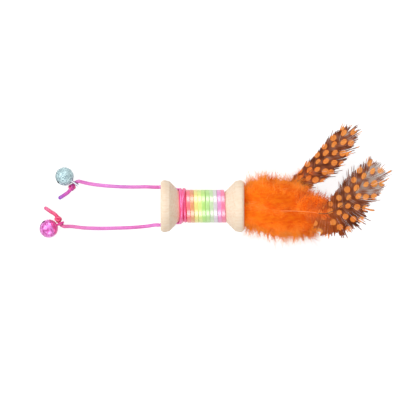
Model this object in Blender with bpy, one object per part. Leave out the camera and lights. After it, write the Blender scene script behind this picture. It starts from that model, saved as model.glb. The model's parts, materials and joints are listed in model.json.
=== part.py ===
"""A cat toy made from a wooden thread spool.

A turned spool carries one layer of wound satin cord. A second cord runs through two
holes in the left flange, over the foot of its cone, and out again as two strings, and
each string ends in a jingle bell held by a stopper knot. Four marabou plumes and two
guinea fowl feathers are glued into the right end of the bore.

Modelling frame: the spool axis is X, with x = 0 on the outer face of the left flange
and the feathers towards +X. Z is up and z = 0 is the axis, so the floor lies one
flange radius below. An empty named toy shifts everything so that the finished part
stands on z = 0, centred in x and y on its box without the strings and knots.
Units are metres.
"""

import math

import bmesh
import bpy
from mathutils import Matrix, Vector

# Spool
SPOOL_LENGTH = 0.045
FLANGE_DIAMETER = 0.028
BARREL_DIAMETER = 0.0138
RIM_WIDTH = 0.0042
RIM_ROUNDING = 0.0012
CONE_SLOPE = 1.0
BORE_DIAMETER = 0.008
BORE_CHAMFER = 0.0006
CORD_HOLE_CLEARANCE = 0.00035
CORD_HOLE_OFFSET = 0.0102
CORD_HOLE_SLANT = math.radians(9.5)
CORD_HOLE_MOUTH = 0.0056
RIM_STEPS = 4
SPOOL_SEGMENTS = 48
HOLE_SEGMENTS = 16
MOUTH_RINGS = 8

# Cord, the same for the winding and for the strings
CORD_DIAMETER = 0.0020
CORD_GAP = 0.00045
SEAT_GAP = 0.0003
POINTS_PER_TURN = 24
BRIDLE_BEND_DEPTH = 0.0007
BRIDLE_BEND = 0.0019
BRIDLE_BEND_REACH = 0.0027
BRIDLE_SETTLES_BY = math.radians(20)
BRIDLE_STEPS = 30

# Strings
STRING_STRAIGHT = 0.0022
STRING_ROOT_GAP = 0.0001
RING_BEND_RADIUS = 0.0036
RING_BEND_ANGLE = math.radians(55)
RING_BEND_STEPS = 5
KNOT_CLEARANCE = 0.0004
KNOT_DIAMETER = 0.0041
KNOT_LENGTH = 0.0032
KNOT_STRAND = 0.0012
KNOT_WRAP_SWING = 0.0004
KNOT_WRAP_STEPS = 60
KNOT_VOXEL = 0.00026
KNOT_TRIANGLES = 620

# Bells
BELL_DIAMETER = 0.010
BELL_WALL = 0.0004
BELL_SEAM_HEIGHT = 0.0016
BELL_SEAM_GAP = 0.0003
SLOT_WIDTH = 0.0006
SLOT_END_DIAMETER = 0.0017
SLOT_END_ANGLE = math.radians(107)
SHANK_HOLE_CLEARANCE = 0.00075
SHANK_RISE = 0.0017
SHANK_THICKNESS = 0.0006
SHANK_WIDTH = 0.0013
SHANK_FOOT = 0.0006
SHANK_DROOP = math.radians(10)
BALL_DIAMETER = 0.0028
BELL_SEGMENTS = 28
CAP_STEPS = 7
CUP_STEPS = 9
SLOT_END_SEGMENTS = 14
SHANK_STEPS = 8
BALL_SEGMENTS = 14
BALL_RINGS = 9

# Feather tuft
PLUG_LENGTH = 0.009
PLUG_RECESS = 0.0005
QUILL_DIAMETER = 0.0009
PLUG_WALL = 0.0005
PLUG_SEGMENTS = 24
QUILL_HOLE_SEGMENTS = 10
PLUME_HEIGHT = 0.0136
PLUME_QUILL_SHARE = 0.35
PLUME_BLUNTNESS = 0.94
PLUME_SQUARENESS = 2.8
PLUME_INNER_SQUARENESS = 6.0
PLUME_DRIFT = -0.0026
PLUME_DRIFT_LENGTH = 0.020
PLUME_STATIONS = 13
PLUME_SEGMENTS = 16
FEATHER_THICKNESS = 0.0008
FEATHER_SPACING = 0.0022
FEATHER_SEGMENTS = 10

FLANGE_RADIUS = FLANGE_DIAMETER / 2
BARREL_RADIUS = BARREL_DIAMETER / 2
CORD_RADIUS = CORD_DIAMETER / 2
CORD_HOLE_RADIUS = CORD_RADIUS + CORD_HOLE_CLEARANCE
BELL_RADIUS = BELL_DIAMETER / 2
BELL_INNER_RADIUS = BELL_RADIUS - BELL_WALL
SHANK_HOLE_RADIUS = CORD_RADIUS + SHANK_HOLE_CLEARANCE
SHANK_HOLE_HEIGHT = BELL_RADIUS + SHANK_RISE
KNOT_OFFSET = SHANK_WIDTH / 2 + KNOT_CLEARANCE + KNOT_LENGTH / 2
PLUG_RADIUS = BORE_DIAMETER / 2 - SEAT_GAP
QUILL_HOLE_RADIUS = QUILL_DIAMETER / 2 + SEAT_GAP
QUILL_CIRCLE_RADIUS = PLUG_RADIUS - PLUG_WALL - QUILL_HOLE_RADIUS
FLOOR = -FLANGE_RADIUS
CONE_LENGTH = (FLANGE_RADIUS - BARREL_RADIUS) / CONE_SLOPE
BARREL_START = RIM_WIDTH + CONE_LENGTH
PLUME_HALF_GAP = max(QUILL_DIAMETER, FEATHER_THICKNESS) / 2 + SEAT_GAP
PLUME_TOP = PLUME_HALF_GAP + PLUME_HEIGHT

# Where each string runs between its flange hole and its bell: x, y, and height above
# the floor. The bell's place is its centre, and its heading the way its shank points.
STRINGS = {
    "upper": {
        "side": 1,
        "route": (
            (-0.0080, 0.0104, 0.0131),
            (-0.0140, 0.0103, 0.0100),
            (-0.0200, 0.0104, 0.0062),
            (-0.0260, 0.0107, 0.0030),
            (-0.0310, 0.0111, 0.0016),
            (-0.0360, 0.0117, 0.0015),
            (-0.0400, 0.0124, 0.0023),
        ),
        "bell_place": (-0.0519, 0.0160),
        "heading": math.radians(-33.5),
        "tail": (
            (-0.0503, 0.0072, 0.0033),
            (-0.0522, 0.0059, 0.0026),
            (-0.0544, 0.0045, 0.0017),
        ),
        "slot_turn": math.radians(-20),
        "metal": (0.42, 0.64, 0.68),
        "shank_is_lacquered": False,
    },
    "lower": {
        "side": -1,
        "route": (
            (-0.0080, -0.0109, 0.0131),
            (-0.0150, -0.0115, 0.0095),
            (-0.0220, -0.0118, 0.0055),
            (-0.0290, -0.0120, 0.0026),
            (-0.0350, -0.0120, 0.0015),
            (-0.0420, -0.0117, 0.0014),
            (-0.0478, -0.0110, 0.0021),
        ),
        "bell_place": (-0.0604, -0.0121),
        "heading": math.radians(23.0),
        "tail": (
            (-0.0572, -0.0043, 0.0035),
            (-0.0595, -0.0029, 0.0029),
            (-0.0621, -0.0011, 0.0020),
        ),
        "slot_turn": math.radians(20),
        "metal": (0.72, 0.07, 0.42),
        "shank_is_lacquered": True,
    },
}

# Each plume fills one quarter round the tuft's own line: its side in y and in z, its
# length, its full width in y, how full it already is at the flange, and the share of its
# length where it is fullest.
PLUMES = {
    "marabou_plume_top_left": (1, 1, 0.039, 0.0172, 0.66, 0.38),
    "marabou_plume_top_right": (-1, 1, 0.045, 0.0128, 0.90, 0.68),
    "marabou_plume_bottom_left": (1, -1, 0.037, 0.0166, 0.66, 0.38),
    "marabou_plume_bottom_right": (-1, -1, 0.043, 0.0132, 0.90, 0.68),
}

# Each guinea fowl feather: the side of the plug that its quill enters, the height of the
# gap or top that it lies on, then its shaft as distance past the right flange, y from the
# tuft's line and z from that height, and the reach of its vane to the left and right of
# the shaft, at even steps from the first point to the last.
GUINEA_FEATHERS = {
    "guinea_feather_upper": {
        "root": (1, 0),
        "lies_at": 0.0,
        "shaft": (
            (0.008, 0.0044, 0.0000),
            (0.016, 0.0086, 0.0000),
            (0.024, 0.0122, 0.0000),
            (0.034, 0.0201, 0.0006),
            (0.044, 0.0296, 0.0014),
            (0.052, 0.0384, 0.0022),
            (0.0585, 0.0458, 0.0028),
        ),
        "left": (0.0, 0.0012, 0.0032, 0.0046, 0.0056, 0.0052, 0.0016),
        "right": (0.0, 0.0012, 0.0046, 0.0076, 0.0094, 0.0090, 0.0032),
    },
    "guinea_feather_lower": {
        "root": (0, 1),
        "lies_at": PLUME_TOP,
        "shaft": (
            (0.009, 0.0000, -0.0086),
            (0.018, 0.0000, -0.0038),
            (0.027, 0.0000, 0.0004),
            (0.036, -0.0006, 0.0014),
            (0.0438, -0.0014, 0.0002),
            (0.0520, 0.0026, -0.0018),
            (0.0585, 0.0086, -0.0034),
            (0.0640, 0.0166, -0.0048),
            (0.0690, 0.0264, -0.0060),
        ),
        "left": (0.0, 0.0, 0.0, 0.0012, 0.0056, 0.0082, 0.0080, 0.0068, 0.0026),
        "right": (0.0, 0.0, 0.0, 0.0016, 0.0102, 0.0144, 0.0116, 0.0108, 0.0034),
    },
}

WOOD = ("birch_wood", (0.86, 0.66, 0.47), 0.55, 0.0)
WOUND_CORD = ("rainbow_cord", (0.72, 0.80, 0.30), 0.35, 0.0)
PINK_CORD = ("pink_cord", (0.83, 0.25, 0.62), 0.35, 0.0)
STEEL = ("bright_steel", (0.62, 0.62, 0.70), 0.22, 1.0)
GLUE = ("clear_glue", (0.82, 0.78, 0.66), 0.30, 0.0)
MARABOU = ("orange_marabou", (0.93, 0.20, 0.01), 0.90, 0.0)
GUINEA = ("spotted_feather", (0.16, 0.06, 0.03), 0.70, 0.0)


def clear_scene():
    for obj in list(bpy.data.objects):
        bpy.data.objects.remove(obj)


def material(name, colour, roughness, metallic):
    made = bpy.data.materials.new(name)
    made.use_nodes = True
    shader = made.node_tree.nodes["Principled BSDF"]
    shader.inputs["Base Color"].default_value = (*colour, 1.0)
    shader.inputs["Roughness"].default_value = roughness
    shader.inputs["Metallic"].default_value = metallic
    return made


def empty(name, parent, matrix):
    made = bpy.data.objects.new(name, None)
    bpy.context.scene.collection.objects.link(made)
    made.parent = parent
    made.matrix_local = matrix
    return made


def add(name, data, parent, finish, location=(0, 0, 0), rotation=(0, 0, 0)):
    made = bpy.data.objects.new(name, data)
    bpy.context.scene.collection.objects.link(made)
    made.parent = parent
    made.location = location
    made.rotation_euler = rotation
    if not data.materials:
        data.materials.append(finish)
    return made


def helper(name, mesh, parent, location=(0, 0, 0), rotation=(0, 0, 0)):
    """A cutter: it shapes another piece and isn't one itself."""
    made = bpy.data.objects.new(name, mesh)
    bpy.context.scene.collection.objects.link(made)
    made.parent = parent
    made.location = location
    made.rotation_euler = rotation
    made.hide_render = True
    made.display_type = "WIRE"
    return made


def cut(piece, tool):
    boolean = piece.modifiers.new("cut " + tool.name, "BOOLEAN")
    boolean.operation = "DIFFERENCE"
    boolean.object = tool


def mesh_from(name, build):
    """A mesh with its faces pointing out, filled in by build(bm)."""
    bm = bmesh.new()
    build(bm)
    bmesh.ops.remove_doubles(bm, verts=bm.verts, dist=1e-7)
    bmesh.ops.recalc_face_normals(bm, faces=bm.faces)
    mesh = bpy.data.meshes.new(name)
    bm.to_mesh(mesh)
    bm.free()
    mesh.shade_smooth()
    mesh.set_sharp_from_angle(angle=math.radians(40))
    return mesh


def turned(name, profile, axis, segments):
    """A closed profile, given as (along the axis, radius), spun a full turn.

    It starts half a step round, so that flats and not edges face along Y and Z.
    """
    along = Vector(axis)
    out = Matrix.Rotation(math.pi / segments, 3, along) @ along.orthogonal().normalized()

    def build(bm):
        points = [bm.verts.new(along * a + out * r) for a, r in profile]
        edges = [bm.edges.new((points[i - 1], points[i])) for i in range(len(points))]
        bmesh.ops.spin(
            bm, geom=points + edges, cent=(0, 0, 0), axis=along,
            angle=math.tau, steps=segments, use_merge=True,
        )

    return mesh_from(name, build)


def loft(name, rings):
    """A closed skin over rings that all have the same number of points."""

    def build(bm):
        made = [[bm.verts.new(p) for p in ring] for ring in rings]
        for near, far in zip(made, made[1:]):
            for i in range(len(near)):
                bm.faces.new((near[i - 1], near[i], far[i], far[i - 1]))
        bm.faces.new(made[0])
        bm.faces.new(made[-1])

    return mesh_from(name, build)


def arc(centre, radius, start, end, steps):
    """Points of an arc in a plane, with angles in degrees."""
    angles = [math.radians(start + (end - start) * i / steps) for i in range(steps + 1)]
    return [(centre[0] + radius * math.cos(a), centre[1] + radius * math.sin(a)) for a in angles]


def smooth_curve(points, spacing):
    """Points about spacing apart on a Catmull-Rom curve through the given ones."""
    ends = [points[0] * 2 - points[1], *points, points[-1] * 2 - points[-2]]
    found = [points[0]]
    for before, a, b, after in zip(ends, ends[1:], ends[2:], ends[3:]):
        steps = max(1, round((b - a).length / spacing))
        for i in range(1, steps + 1):
            t = i / steps
            found.append(0.5 * (
                2 * a + (b - before) * t
                + (2 * before - 5 * a + 4 * b - after) * t**2
                + (3 * a - before - 3 * b + after) * t**3
            ))
    return found


def tube(name, points, radius, resolution, round_root=False, cyclic=False):
    """A round cord along points. A rounded root starts with half a ball about point 0."""
    curve = bpy.data.curves.new(name, "CURVE")
    curve.dimensions = "3D"
    curve.bevel_depth = radius
    curve.bevel_resolution = resolution
    curve.use_fill_caps = True
    stations = [(p, 1.0) for p in points]
    if round_root:
        back = (points[0] - points[1]).normalized() * radius
        dome = [(points[0] + back * math.sin(a), math.cos(a)) for a in (1.4, 1.0, 0.5)]
        stations = dome + stations
    spline = curve.splines.new("POLY")
    spline.points.add(len(stations) - 1)
    spline.use_cyclic_u = cyclic
    for point, (place, share) in zip(spline.points, stations):
        point.co = (*place, 1.0)
        point.radius = share
    return curve


def smooth_step(t):
    t = min(1.0, max(0.0, t))
    return t * t * (3 - 2 * t)


def spool_mesh():
    """The rims are rounded, the flanges slope to the barrel, and the bore is chamfered."""
    bore = BORE_DIAMETER / 2
    cone = math.atan(CONE_SLOPE)
    inner = RIM_ROUNDING * math.tan(cone / 2)
    left = [(0.0, bore + BORE_CHAMFER)]
    left += arc((RIM_ROUNDING, FLANGE_RADIUS - RIM_ROUNDING), RIM_ROUNDING, 180, 90, RIM_STEPS)
    left += [(RIM_WIDTH - inner, FLANGE_RADIUS)]
    left += [(RIM_WIDTH + inner * math.cos(cone), FLANGE_RADIUS - inner * math.sin(cone))]
    left += [(BARREL_START, BARREL_RADIUS)]
    right = [(SPOOL_LENGTH - x, r) for x, r in reversed(left)]
    hole = [(SPOOL_LENGTH - BORE_CHAMFER, bore), (BORE_CHAMFER, bore)]
    return turned("spool", left + right + hole, (1, 0, 0), SPOOL_SEGMENTS)


def cylinder_along_x(name, radius, start, end, segments):
    return turned(
        name, [(start, 0.0), (start, radius), (end, radius), (end, 0.0)], (1, 0, 0), segments
    )


def ball_mesh(name, diameter, segments, rings):
    def build(bm):
        bmesh.ops.create_uvsphere(bm, u_segments=segments, v_segments=rings, radius=diameter / 2)

    return mesh_from(name, build)


def hole_radius(x):
    """How far from the spool's axis the middle of a cord hole is. It slants inwards."""
    return CORD_HOLE_OFFSET - x * math.tan(CORD_HOLE_SLANT)


def hole_exit():
    """Where along the spool a cord hole comes out of the flange's cone."""
    rise = FLANGE_RADIUS + RIM_WIDTH * CONE_SLOPE - CORD_HOLE_OFFSET
    return rise / (CONE_SLOPE - math.tan(CORD_HOLE_SLANT))


def make_spool(toy, wood):
    """Each cord hole has an eased mouth, where the cord bends round on to the cone."""
    spool = add("spool", spool_mesh(), toy, wood)
    drill = cylinder_along_x(
        "cord_hole", CORD_HOLE_RADIUS, -RIM_WIDTH, BARREL_START + RIM_WIDTH, HOLE_SEGMENTS
    )
    mouth = ball_mesh("cord_hole_mouth", CORD_HOLE_MOUTH, HOLE_SEGMENTS, MOUTH_RINGS)
    leaves = hole_exit()
    for side in (1, -1):
        slant = (0, 0, -side * CORD_HOLE_SLANT)
        cut(spool, helper("cord_hole_cutter", drill, toy, (0, side * CORD_HOLE_OFFSET, 0), slant))
        at_mouth = (leaves, side * hole_radius(leaves), 0)
        cut(spool, helper("cord_hole_mouth_cutter", mouth, toy, at_mouth))


def on_axis_circle(x, radius, angle):
    """A point round the spool's axis. Angle 0 is +Y and a quarter turn is up."""
    return Vector((x, radius * math.cos(angle), radius * math.sin(angle)))


def winding_radius():
    return BARREL_RADIUS + SEAT_GAP + CORD_RADIUS


def bridle_lies():
    """Where the bridle lies on the foot of the flange's cone: along the spool, and its radius."""
    x = hole_exit() - BRIDLE_BEND_DEPTH + BRIDLE_BEND
    cone = FLANGE_RADIUS - (x - RIM_WIDTH) * CONE_SLOPE
    return x, cone + (CORD_RADIUS + SEAT_GAP) * math.hypot(1, CONE_SLOPE)


def make_bridle(toy, pink):
    """The middle of the string cord: out of one hole, over the spool, into the other."""
    lies_x, lies_radius = bridle_lies()
    bend_start = lies_x - BRIDLE_BEND
    face_end = SEAT_GAP - STRING_ROOT_GAP
    in_hole = [face_end + (bend_start - face_end) * i / 4 for i in range(4)]
    points = [on_axis_circle(x, hole_radius(x), 0) for x in in_hole]
    bend_angle = BRIDLE_BEND_REACH / hole_radius(bend_start)
    for i in range(BRIDLE_STEPS + 1):
        angle = math.pi * i / BRIDLE_STEPS
        from_end = min(angle, math.pi - angle)
        turn = math.acos(1 - min(1.0, from_end / bend_angle))
        x = bend_start + BRIDLE_BEND * math.sin(turn)
        settled = smooth_step(from_end / BRIDLE_SETTLES_BY)
        radius = hole_radius(bend_start) + (lies_radius - hole_radius(bend_start)) * settled
        points.append(on_axis_circle(x, radius, angle))
    points += [on_axis_circle(x, hole_radius(x), math.pi) for x in reversed(in_hole)]
    add("string_bridle", tube("string_bridle", points, CORD_RADIUS, 2), toy, pink)


def make_winding(toy, rainbow):
    """One layer of cord from beside the bridle to the right flange's cone."""
    radius = winding_radius()
    bridle_x, bridle_radius = bridle_lies()
    step_down = min(abs(bridle_radius - radius), CORD_DIAMETER)
    beside = math.sqrt((CORD_DIAMETER + SEAT_GAP) ** 2 - step_down**2)
    clear = (CORD_RADIUS + SEAT_GAP) * math.hypot(1, CONE_SLOPE) / CONE_SLOPE
    start = max(bridle_x + beside, BARREL_START - (radius - BARREL_RADIUS) / CONE_SLOPE + clear)
    end = SPOOL_LENGTH - BARREL_START + (radius - BARREL_RADIUS) / CONE_SLOPE - clear
    turns = int((end - start) / (CORD_DIAMETER + CORD_GAP))
    pitch = (end - start) / turns
    count = turns * POINTS_PER_TURN
    points = [
        on_axis_circle(start + pitch * i / POINTS_PER_TURN, radius, math.tau * i / POINTS_PER_TURN)
        for i in range(count + 1)
    ]
    add("cord_winding", tube("cord_winding", points, CORD_RADIUS, 1), toy, rainbow)
    apart = min(
        (a - b).length
        for i, a in enumerate(points)
        for b in points[i + POINTS_PER_TURN // 2:]
    )
    print(f"cord_winding: {turns} turns, least gap to itself {(apart - CORD_DIAMETER) * 1000:.2f} mm")


class BellPose:
    """Where one bell lies: its centre, the way its shank points, and the way to its knot."""

    def __init__(self, plan):
        x, y = plan["bell_place"]
        heading = plan["heading"]
        flat = Vector((math.cos(heading), math.sin(heading), 0))
        self.centre = Vector((x, y, FLOOR + BELL_RADIUS))
        self.shank = flat * math.cos(SHANK_DROOP) - Vector((0, 0, math.sin(SHANK_DROOP)))
        self.to_knot = Vector((flat.y, -flat.x, 0)) * plan["side"]
        self.hole = self.centre + self.shank * SHANK_HOLE_HEIGHT
        self.knot = self.hole + self.to_knot * KNOT_OFFSET

    def matrix(self):
        """At the shank's hole, with Z along the shank and Y along the cord through it."""
        across = self.to_knot.cross(self.shank)
        turn = Matrix((across, self.to_knot, self.shank)).transposed().to_4x4()
        return Matrix.Translation(self.hole) @ turn


def above_floor(points):
    return [Vector((x, y, FLOOR + height)) for x, y, height in points]


def string_points(plan, pose):
    """From the rounded root at the flange, down to the floor, and round into the shank."""
    root = Vector((-CORD_RADIUS - STRING_ROOT_GAP, plan["side"] * CORD_HOLE_OFFSET, 0))
    out = root - Vector((STRING_STRAIGHT, 0, 0))
    knot_face = pose.hole + pose.to_knot * (KNOT_OFFSET - KNOT_LENGTH / 2 - SEAT_GAP)
    bend = []
    for i in range(RING_BEND_STEPS):
        a = RING_BEND_ANGLE * (1 - i / RING_BEND_STEPS)
        outward = pose.shank * (RING_BEND_RADIUS * (1 - math.cos(a)))
        bend.append(knot_face + outward - pose.to_knot * (RING_BEND_RADIUS * math.sin(a)))
    route = smooth_curve([out, *above_floor(plan["route"]), *bend[:2]], CORD_DIAMETER * 2)
    return [root, *route, *bend[2:], knot_face]


def make_string(name, plan, pose, pivot, cord):
    points = string_points(plan, pose)
    root = points[0]
    data = tube(name, [p - root for p in points], CORD_RADIUS, 2, round_root=True)
    add(name, data, pivot, cord)


def knot_wraps(pose):
    """A trefoil wound round the cord, which is how a drawn-up stopper knot looks."""
    across = pose.to_knot.cross(pose.shank)
    ring = (KNOT_DIAMETER - KNOT_STRAND) / 2
    points = []
    for i in range(KNOT_WRAP_STEPS):
        t = math.tau * i / KNOT_WRAP_STEPS
        radius = ring - KNOT_WRAP_SWING * (1 - math.cos(3 * t))
        along = (KNOT_LENGTH - KNOT_STRAND) / 2 * math.sin(3 * t)
        points.append(
            pose.knot + pose.to_knot * along
            + across * (radius * math.cos(2 * t)) + pose.shank * (radius * math.sin(2 * t))
        )
    return points


def mesh_of(curve, place):
    """The curve's skin as a mesh, in the frame of the object at place."""
    guide = bpy.data.objects.new(curve.name, curve)
    bpy.context.scene.collection.objects.link(guide)
    graph = bpy.context.evaluated_depsgraph_get()
    mesh = bpy.data.meshes.new_from_object(guide.evaluated_get(graph))
    bpy.data.objects.remove(guide)
    mesh.transform(Matrix.Translation(-place))
    return mesh


def make_knot(name, plan, pose, pivot, root, cord):
    """Wraps, the cord through them and its free tail, drawn into one body by a remesh."""
    half = pose.to_knot * (KNOT_LENGTH / 2)
    through = [pose.knot - half, pose.knot, pose.knot + half]
    tail = smooth_curve(through + above_floor(plan["tail"]), CORD_DIAMETER)
    bm = bmesh.new()
    bm.from_mesh(mesh_of(tube("knot_cord", tail, CORD_RADIUS, 3), root))
    bm.from_mesh(mesh_of(tube("knot_wraps", knot_wraps(pose), KNOT_STRAND / 2, 3, cyclic=True), root))
    mesh = bpy.data.meshes.new(name)
    bm.to_mesh(mesh)
    bm.free()
    knot = add(name, mesh, pivot, cord)
    remesh = knot.modifiers.new("draw up", "REMESH")
    remesh.mode = "VOXEL"
    remesh.voxel_size = KNOT_VOXEL
    graph = bpy.context.evaluated_depsgraph_get()
    faces = len(knot.evaluated_get(graph).data.polygons)
    thin = knot.modifiers.new("fewer faces", "DECIMATE")
    thin.ratio = min(1.0, KNOT_TRIANGLES / (2 * faces))


def shell_profile(from_angle, to_angle, steps):
    """A band of the bell's wall. Angles run from the shank's pole."""
    angles = [from_angle + (to_angle - from_angle) * i / steps for i in range(steps + 1)]
    outside = [(BELL_RADIUS * math.cos(a), BELL_RADIUS * math.sin(a)) for a in angles]
    inside = [(BELL_INNER_RADIUS * math.cos(a), BELL_INNER_RADIUS * math.sin(a)) for a in angles]
    return outside + inside[::-1]


def cap_mesh():
    seam = math.acos(BELL_SEAM_HEIGHT / BELL_RADIUS)
    profile = shell_profile(0.0, seam, CAP_STEPS)
    return turned("bell_cap", profile, (0, 0, 1), BELL_SEGMENTS)


def cup_mesh():
    seam = math.acos((BELL_SEAM_HEIGHT - BELL_SEAM_GAP) / BELL_RADIUS)
    profile = shell_profile(seam, math.pi, CUP_STEPS)
    return turned("bell_cup", profile, (0, 0, 1), BELL_SEGMENTS)


def box(name, low, high):
    def build(bm):
        bmesh.ops.create_cube(bm, size=1.0)
        size = Vector(high) - Vector(low)
        middle = (Vector(high) + Vector(low)) / 2
        bmesh.ops.scale(bm, vec=size, verts=bm.verts)
        bmesh.ops.translate(bm, vec=middle, verts=bm.verts)

    return mesh_from(name, build)


def slot_cutter():
    """A narrow blade across the bottom of the cup, with a round hole at each end."""
    reach = BELL_DIAMETER
    end_height = BELL_RADIUS * math.cos(SLOT_END_ANGLE)
    blade = box(
        "slot", (-SLOT_WIDTH / 2, -reach, -reach), (SLOT_WIDTH / 2, reach, end_height)
    )
    hole = turned(
        "slot_end",
        [(0.0, 0.0), (0.0, SLOT_END_DIAMETER / 2), (reach, SLOT_END_DIAMETER / 2), (reach, 0.0)],
        (0, 0, 1), SLOT_END_SEGMENTS,
    )
    return blade, hole


def shank_mesh():
    """A strap bent into an arch, with its two legs through the cap and turned out inside."""
    inner = SHANK_HOLE_RADIUS
    outer = inner + SHANK_THICKNESS
    toe = outer + SHANK_FOOT
    under_cap = BELL_INNER_RADIUS - SEAT_GAP
    foot_top = math.sqrt(under_cap**2 - toe**2 - (SHANK_WIDTH / 2) ** 2)
    foot_bottom = foot_top - SHANK_THICKNESS
    half = arc((0.0, SHANK_HOLE_HEIGHT), outer, 90, 0, SHANK_STEPS)
    half += [(outer, foot_top), (toe, foot_top), (toe, foot_bottom), (inner, foot_bottom)]
    half += arc((0.0, SHANK_HOLE_HEIGHT), inner, 0, 90, SHANK_STEPS)

    def build(bm):
        for side in (1, -1):
            face = bm.faces.new(
                [bm.verts.new((side * x, -SHANK_WIDTH / 2, z)) for x, z in half]
            )
            made = bmesh.ops.extrude_face_region(bm, geom=[face])["geom"]
            moved = [v for v in made if isinstance(v, bmesh.types.BMVert)]
            bmesh.ops.translate(bm, vec=(0, SHANK_WIDTH, 0), verts=moved)
        bmesh.ops.remove_doubles(bm, verts=bm.verts, dist=1e-7)
        joint = [f for f in bm.faces if all(abs(v.co.x) < 1e-7 for v in f.verts)]
        bmesh.ops.delete(bm, geom=joint, context="FACES_ONLY")

    return mesh_from("bell_shank", build)


def leg_slot():
    """Room for one leg of the shank to pass the cap."""
    low = SHANK_HOLE_RADIUS - SEAT_GAP
    high = SHANK_HOLE_RADIUS + SHANK_THICKNESS + SEAT_GAP
    across = SHANK_WIDTH / 2 + SEAT_GAP
    return box("leg_slot", (low, -across, 0), (high, across, BELL_DIAMETER))


def make_bell(name, plan, pose, pivot, shared, finishes):
    """The bell's pieces stand on their pivot at the shank's hole, with the shank up."""
    metal, steel = finishes
    down = (0, 0, -SHANK_HOLE_HEIGHT)
    cap = add(f"{name}_bell_cap", shared["cap"].copy(), pivot, metal, down)
    for side in (0, math.pi):
        cut(cap, helper(f"{name}_leg_slot", shared["leg_slot"], pivot, down, (0, 0, side)))
    turn = (0, 0, plan["slot_turn"])
    cup = add(f"{name}_bell_cup", shared["cup"].copy(), pivot, metal, down, turn)
    blade, hole = shared["slot"]
    cut(cup, helper(f"{name}_slot", blade, pivot, down, turn))
    for side in (1, -1):
        turned_out = (-side * SLOT_END_ANGLE, 0, plan["slot_turn"])
        cut(cup, helper(f"{name}_slot_end", hole, pivot, down, turned_out))
    strap = metal if plan["shank_is_lacquered"] else steel
    add(f"{name}_bell_shank", shared["shank"].copy(), pivot, strap, down)
    middle = empty(f"{name}_ball_pivot", pivot, Matrix.Translation(down))
    to_floor = pose.matrix().to_3x3().transposed() @ Vector((0, 0, -1))
    to_floor.z = 0
    rolls_at = BELL_INNER_RADIUS - SEAT_GAP - BALL_DIAMETER / 2
    add(f"{name}_bell_ball", shared["ball"], middle, steel, to_floor.normalized() * rolls_at)


def make_strings_and_bells(toy, finishes):
    shared = {
        "cap": cap_mesh(),
        "cup": cup_mesh(),
        "leg_slot": leg_slot(),
        "slot": slot_cutter(),
        "shank": shank_mesh(),
        "ball": ball_mesh("bell_ball", BALL_DIAMETER, BALL_SEGMENTS, BALL_RINGS),
    }
    for name, plan in STRINGS.items():
        pose = BellPose(plan)
        root = string_points(plan, pose)[0]
        string_pivot = empty(f"{name}_string_pivot", toy, Matrix.Translation(root))
        make_string(f"{name}_string", plan, pose, string_pivot, finishes["pink"])
        make_knot(f"{name}_knot", plan, pose, string_pivot, root, finishes["pink"])
        bell_pivot = empty(
            f"{name}_bell_pivot", string_pivot, Matrix.Translation(-root) @ pose.matrix()
        )
        metal = material(f"{name}_bell_metal", plan["metal"], 0.3, 1.0)
        make_bell(name, plan, pose, bell_pivot, shared, (metal, finishes["steel"]))


def quill_places():
    """Where each feather's quill sits in the plug, as (y, z), by name."""
    ways = {name: (side_y, side_z) for name, (side_y, side_z, *_) in PLUMES.items()}
    ways.update((name, feather["root"]) for name, feather in GUINEA_FEATHERS.items())
    return {name: Vector(way).normalized() * QUILL_CIRCLE_RADIUS for name, way in ways.items()}


def plug_span():
    end = SPOOL_LENGTH - PLUG_RECESS
    return end - PLUG_LENGTH, end


def make_plug(toy, glue):
    """Set glue that fills the end of the bore round the quills."""
    start, end = plug_span()
    body = cylinder_along_x("glue_plug", PLUG_RADIUS, start, end, PLUG_SEGMENTS)
    plug = add("glue_plug", body, toy, glue)
    drill = cylinder_along_x(
        "quill_hole", QUILL_HOLE_RADIUS, start + PLUG_WALL, end + PLUG_LENGTH, QUILL_HOLE_SEGMENTS
    )
    for name, (y, z) in quill_places().items():
        cut(plug, helper(name + "_quill_hole", drill, toy, (0, y, z)))


def quill_start():
    return plug_span()[0] + PLUG_WALL + SEAT_GAP


def tuft_line(past_flange):
    """The y of the line that the plumes lie round."""
    return PLUME_DRIFT * smooth_step(past_flange / PLUME_DRIFT_LENGTH)


def plume_share(t, root_share, shoulder):
    """How full a plume is at t, from 0 at the flange to 1 at its tip."""
    if t < shoulder:
        return root_share + (1 - root_share) * math.sin(math.pi / 2 * t / shoulder)
    past = (t - shoulder) / (1 - shoulder)
    return (1 - past**PLUME_SQUARENESS) ** (1 / PLUME_SQUARENESS)


def plume_section(shape, t):
    """A plume's middle, half width and half height at t."""
    side_y, side_z, length, width, *fullness = shape
    past = SEAT_GAP + t * length
    half_y = width / 2 * plume_share(t, *fullness)
    half_z = PLUME_HEIGHT / 2 * plume_share(t, *fullness)
    y = tuft_line(past) + side_y * (PLUME_HALF_GAP + half_y)
    z = side_z * (PLUME_HALF_GAP + half_z)
    return Vector((SPOOL_LENGTH + past, y, z)), half_y, half_z


def plume_quill(name, shape):
    """Straight out of the plug, then bent out to the middle of the plume."""
    y, z = quill_places()[name]
    middle = plume_section(shape, PLUME_QUILL_SHARE)[0]
    route = [Vector((quill_start(), y, z)), Vector((SPOOL_LENGTH, y, z)), middle]
    return tube(name + "_quill", route, QUILL_DIAMETER / 2, 2)


def squared(value, squareness):
    """Fills out the corners of an ellipse whose points are given by cosine and sine."""
    return math.copysign(abs(value) ** (2 / squareness), value)


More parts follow.
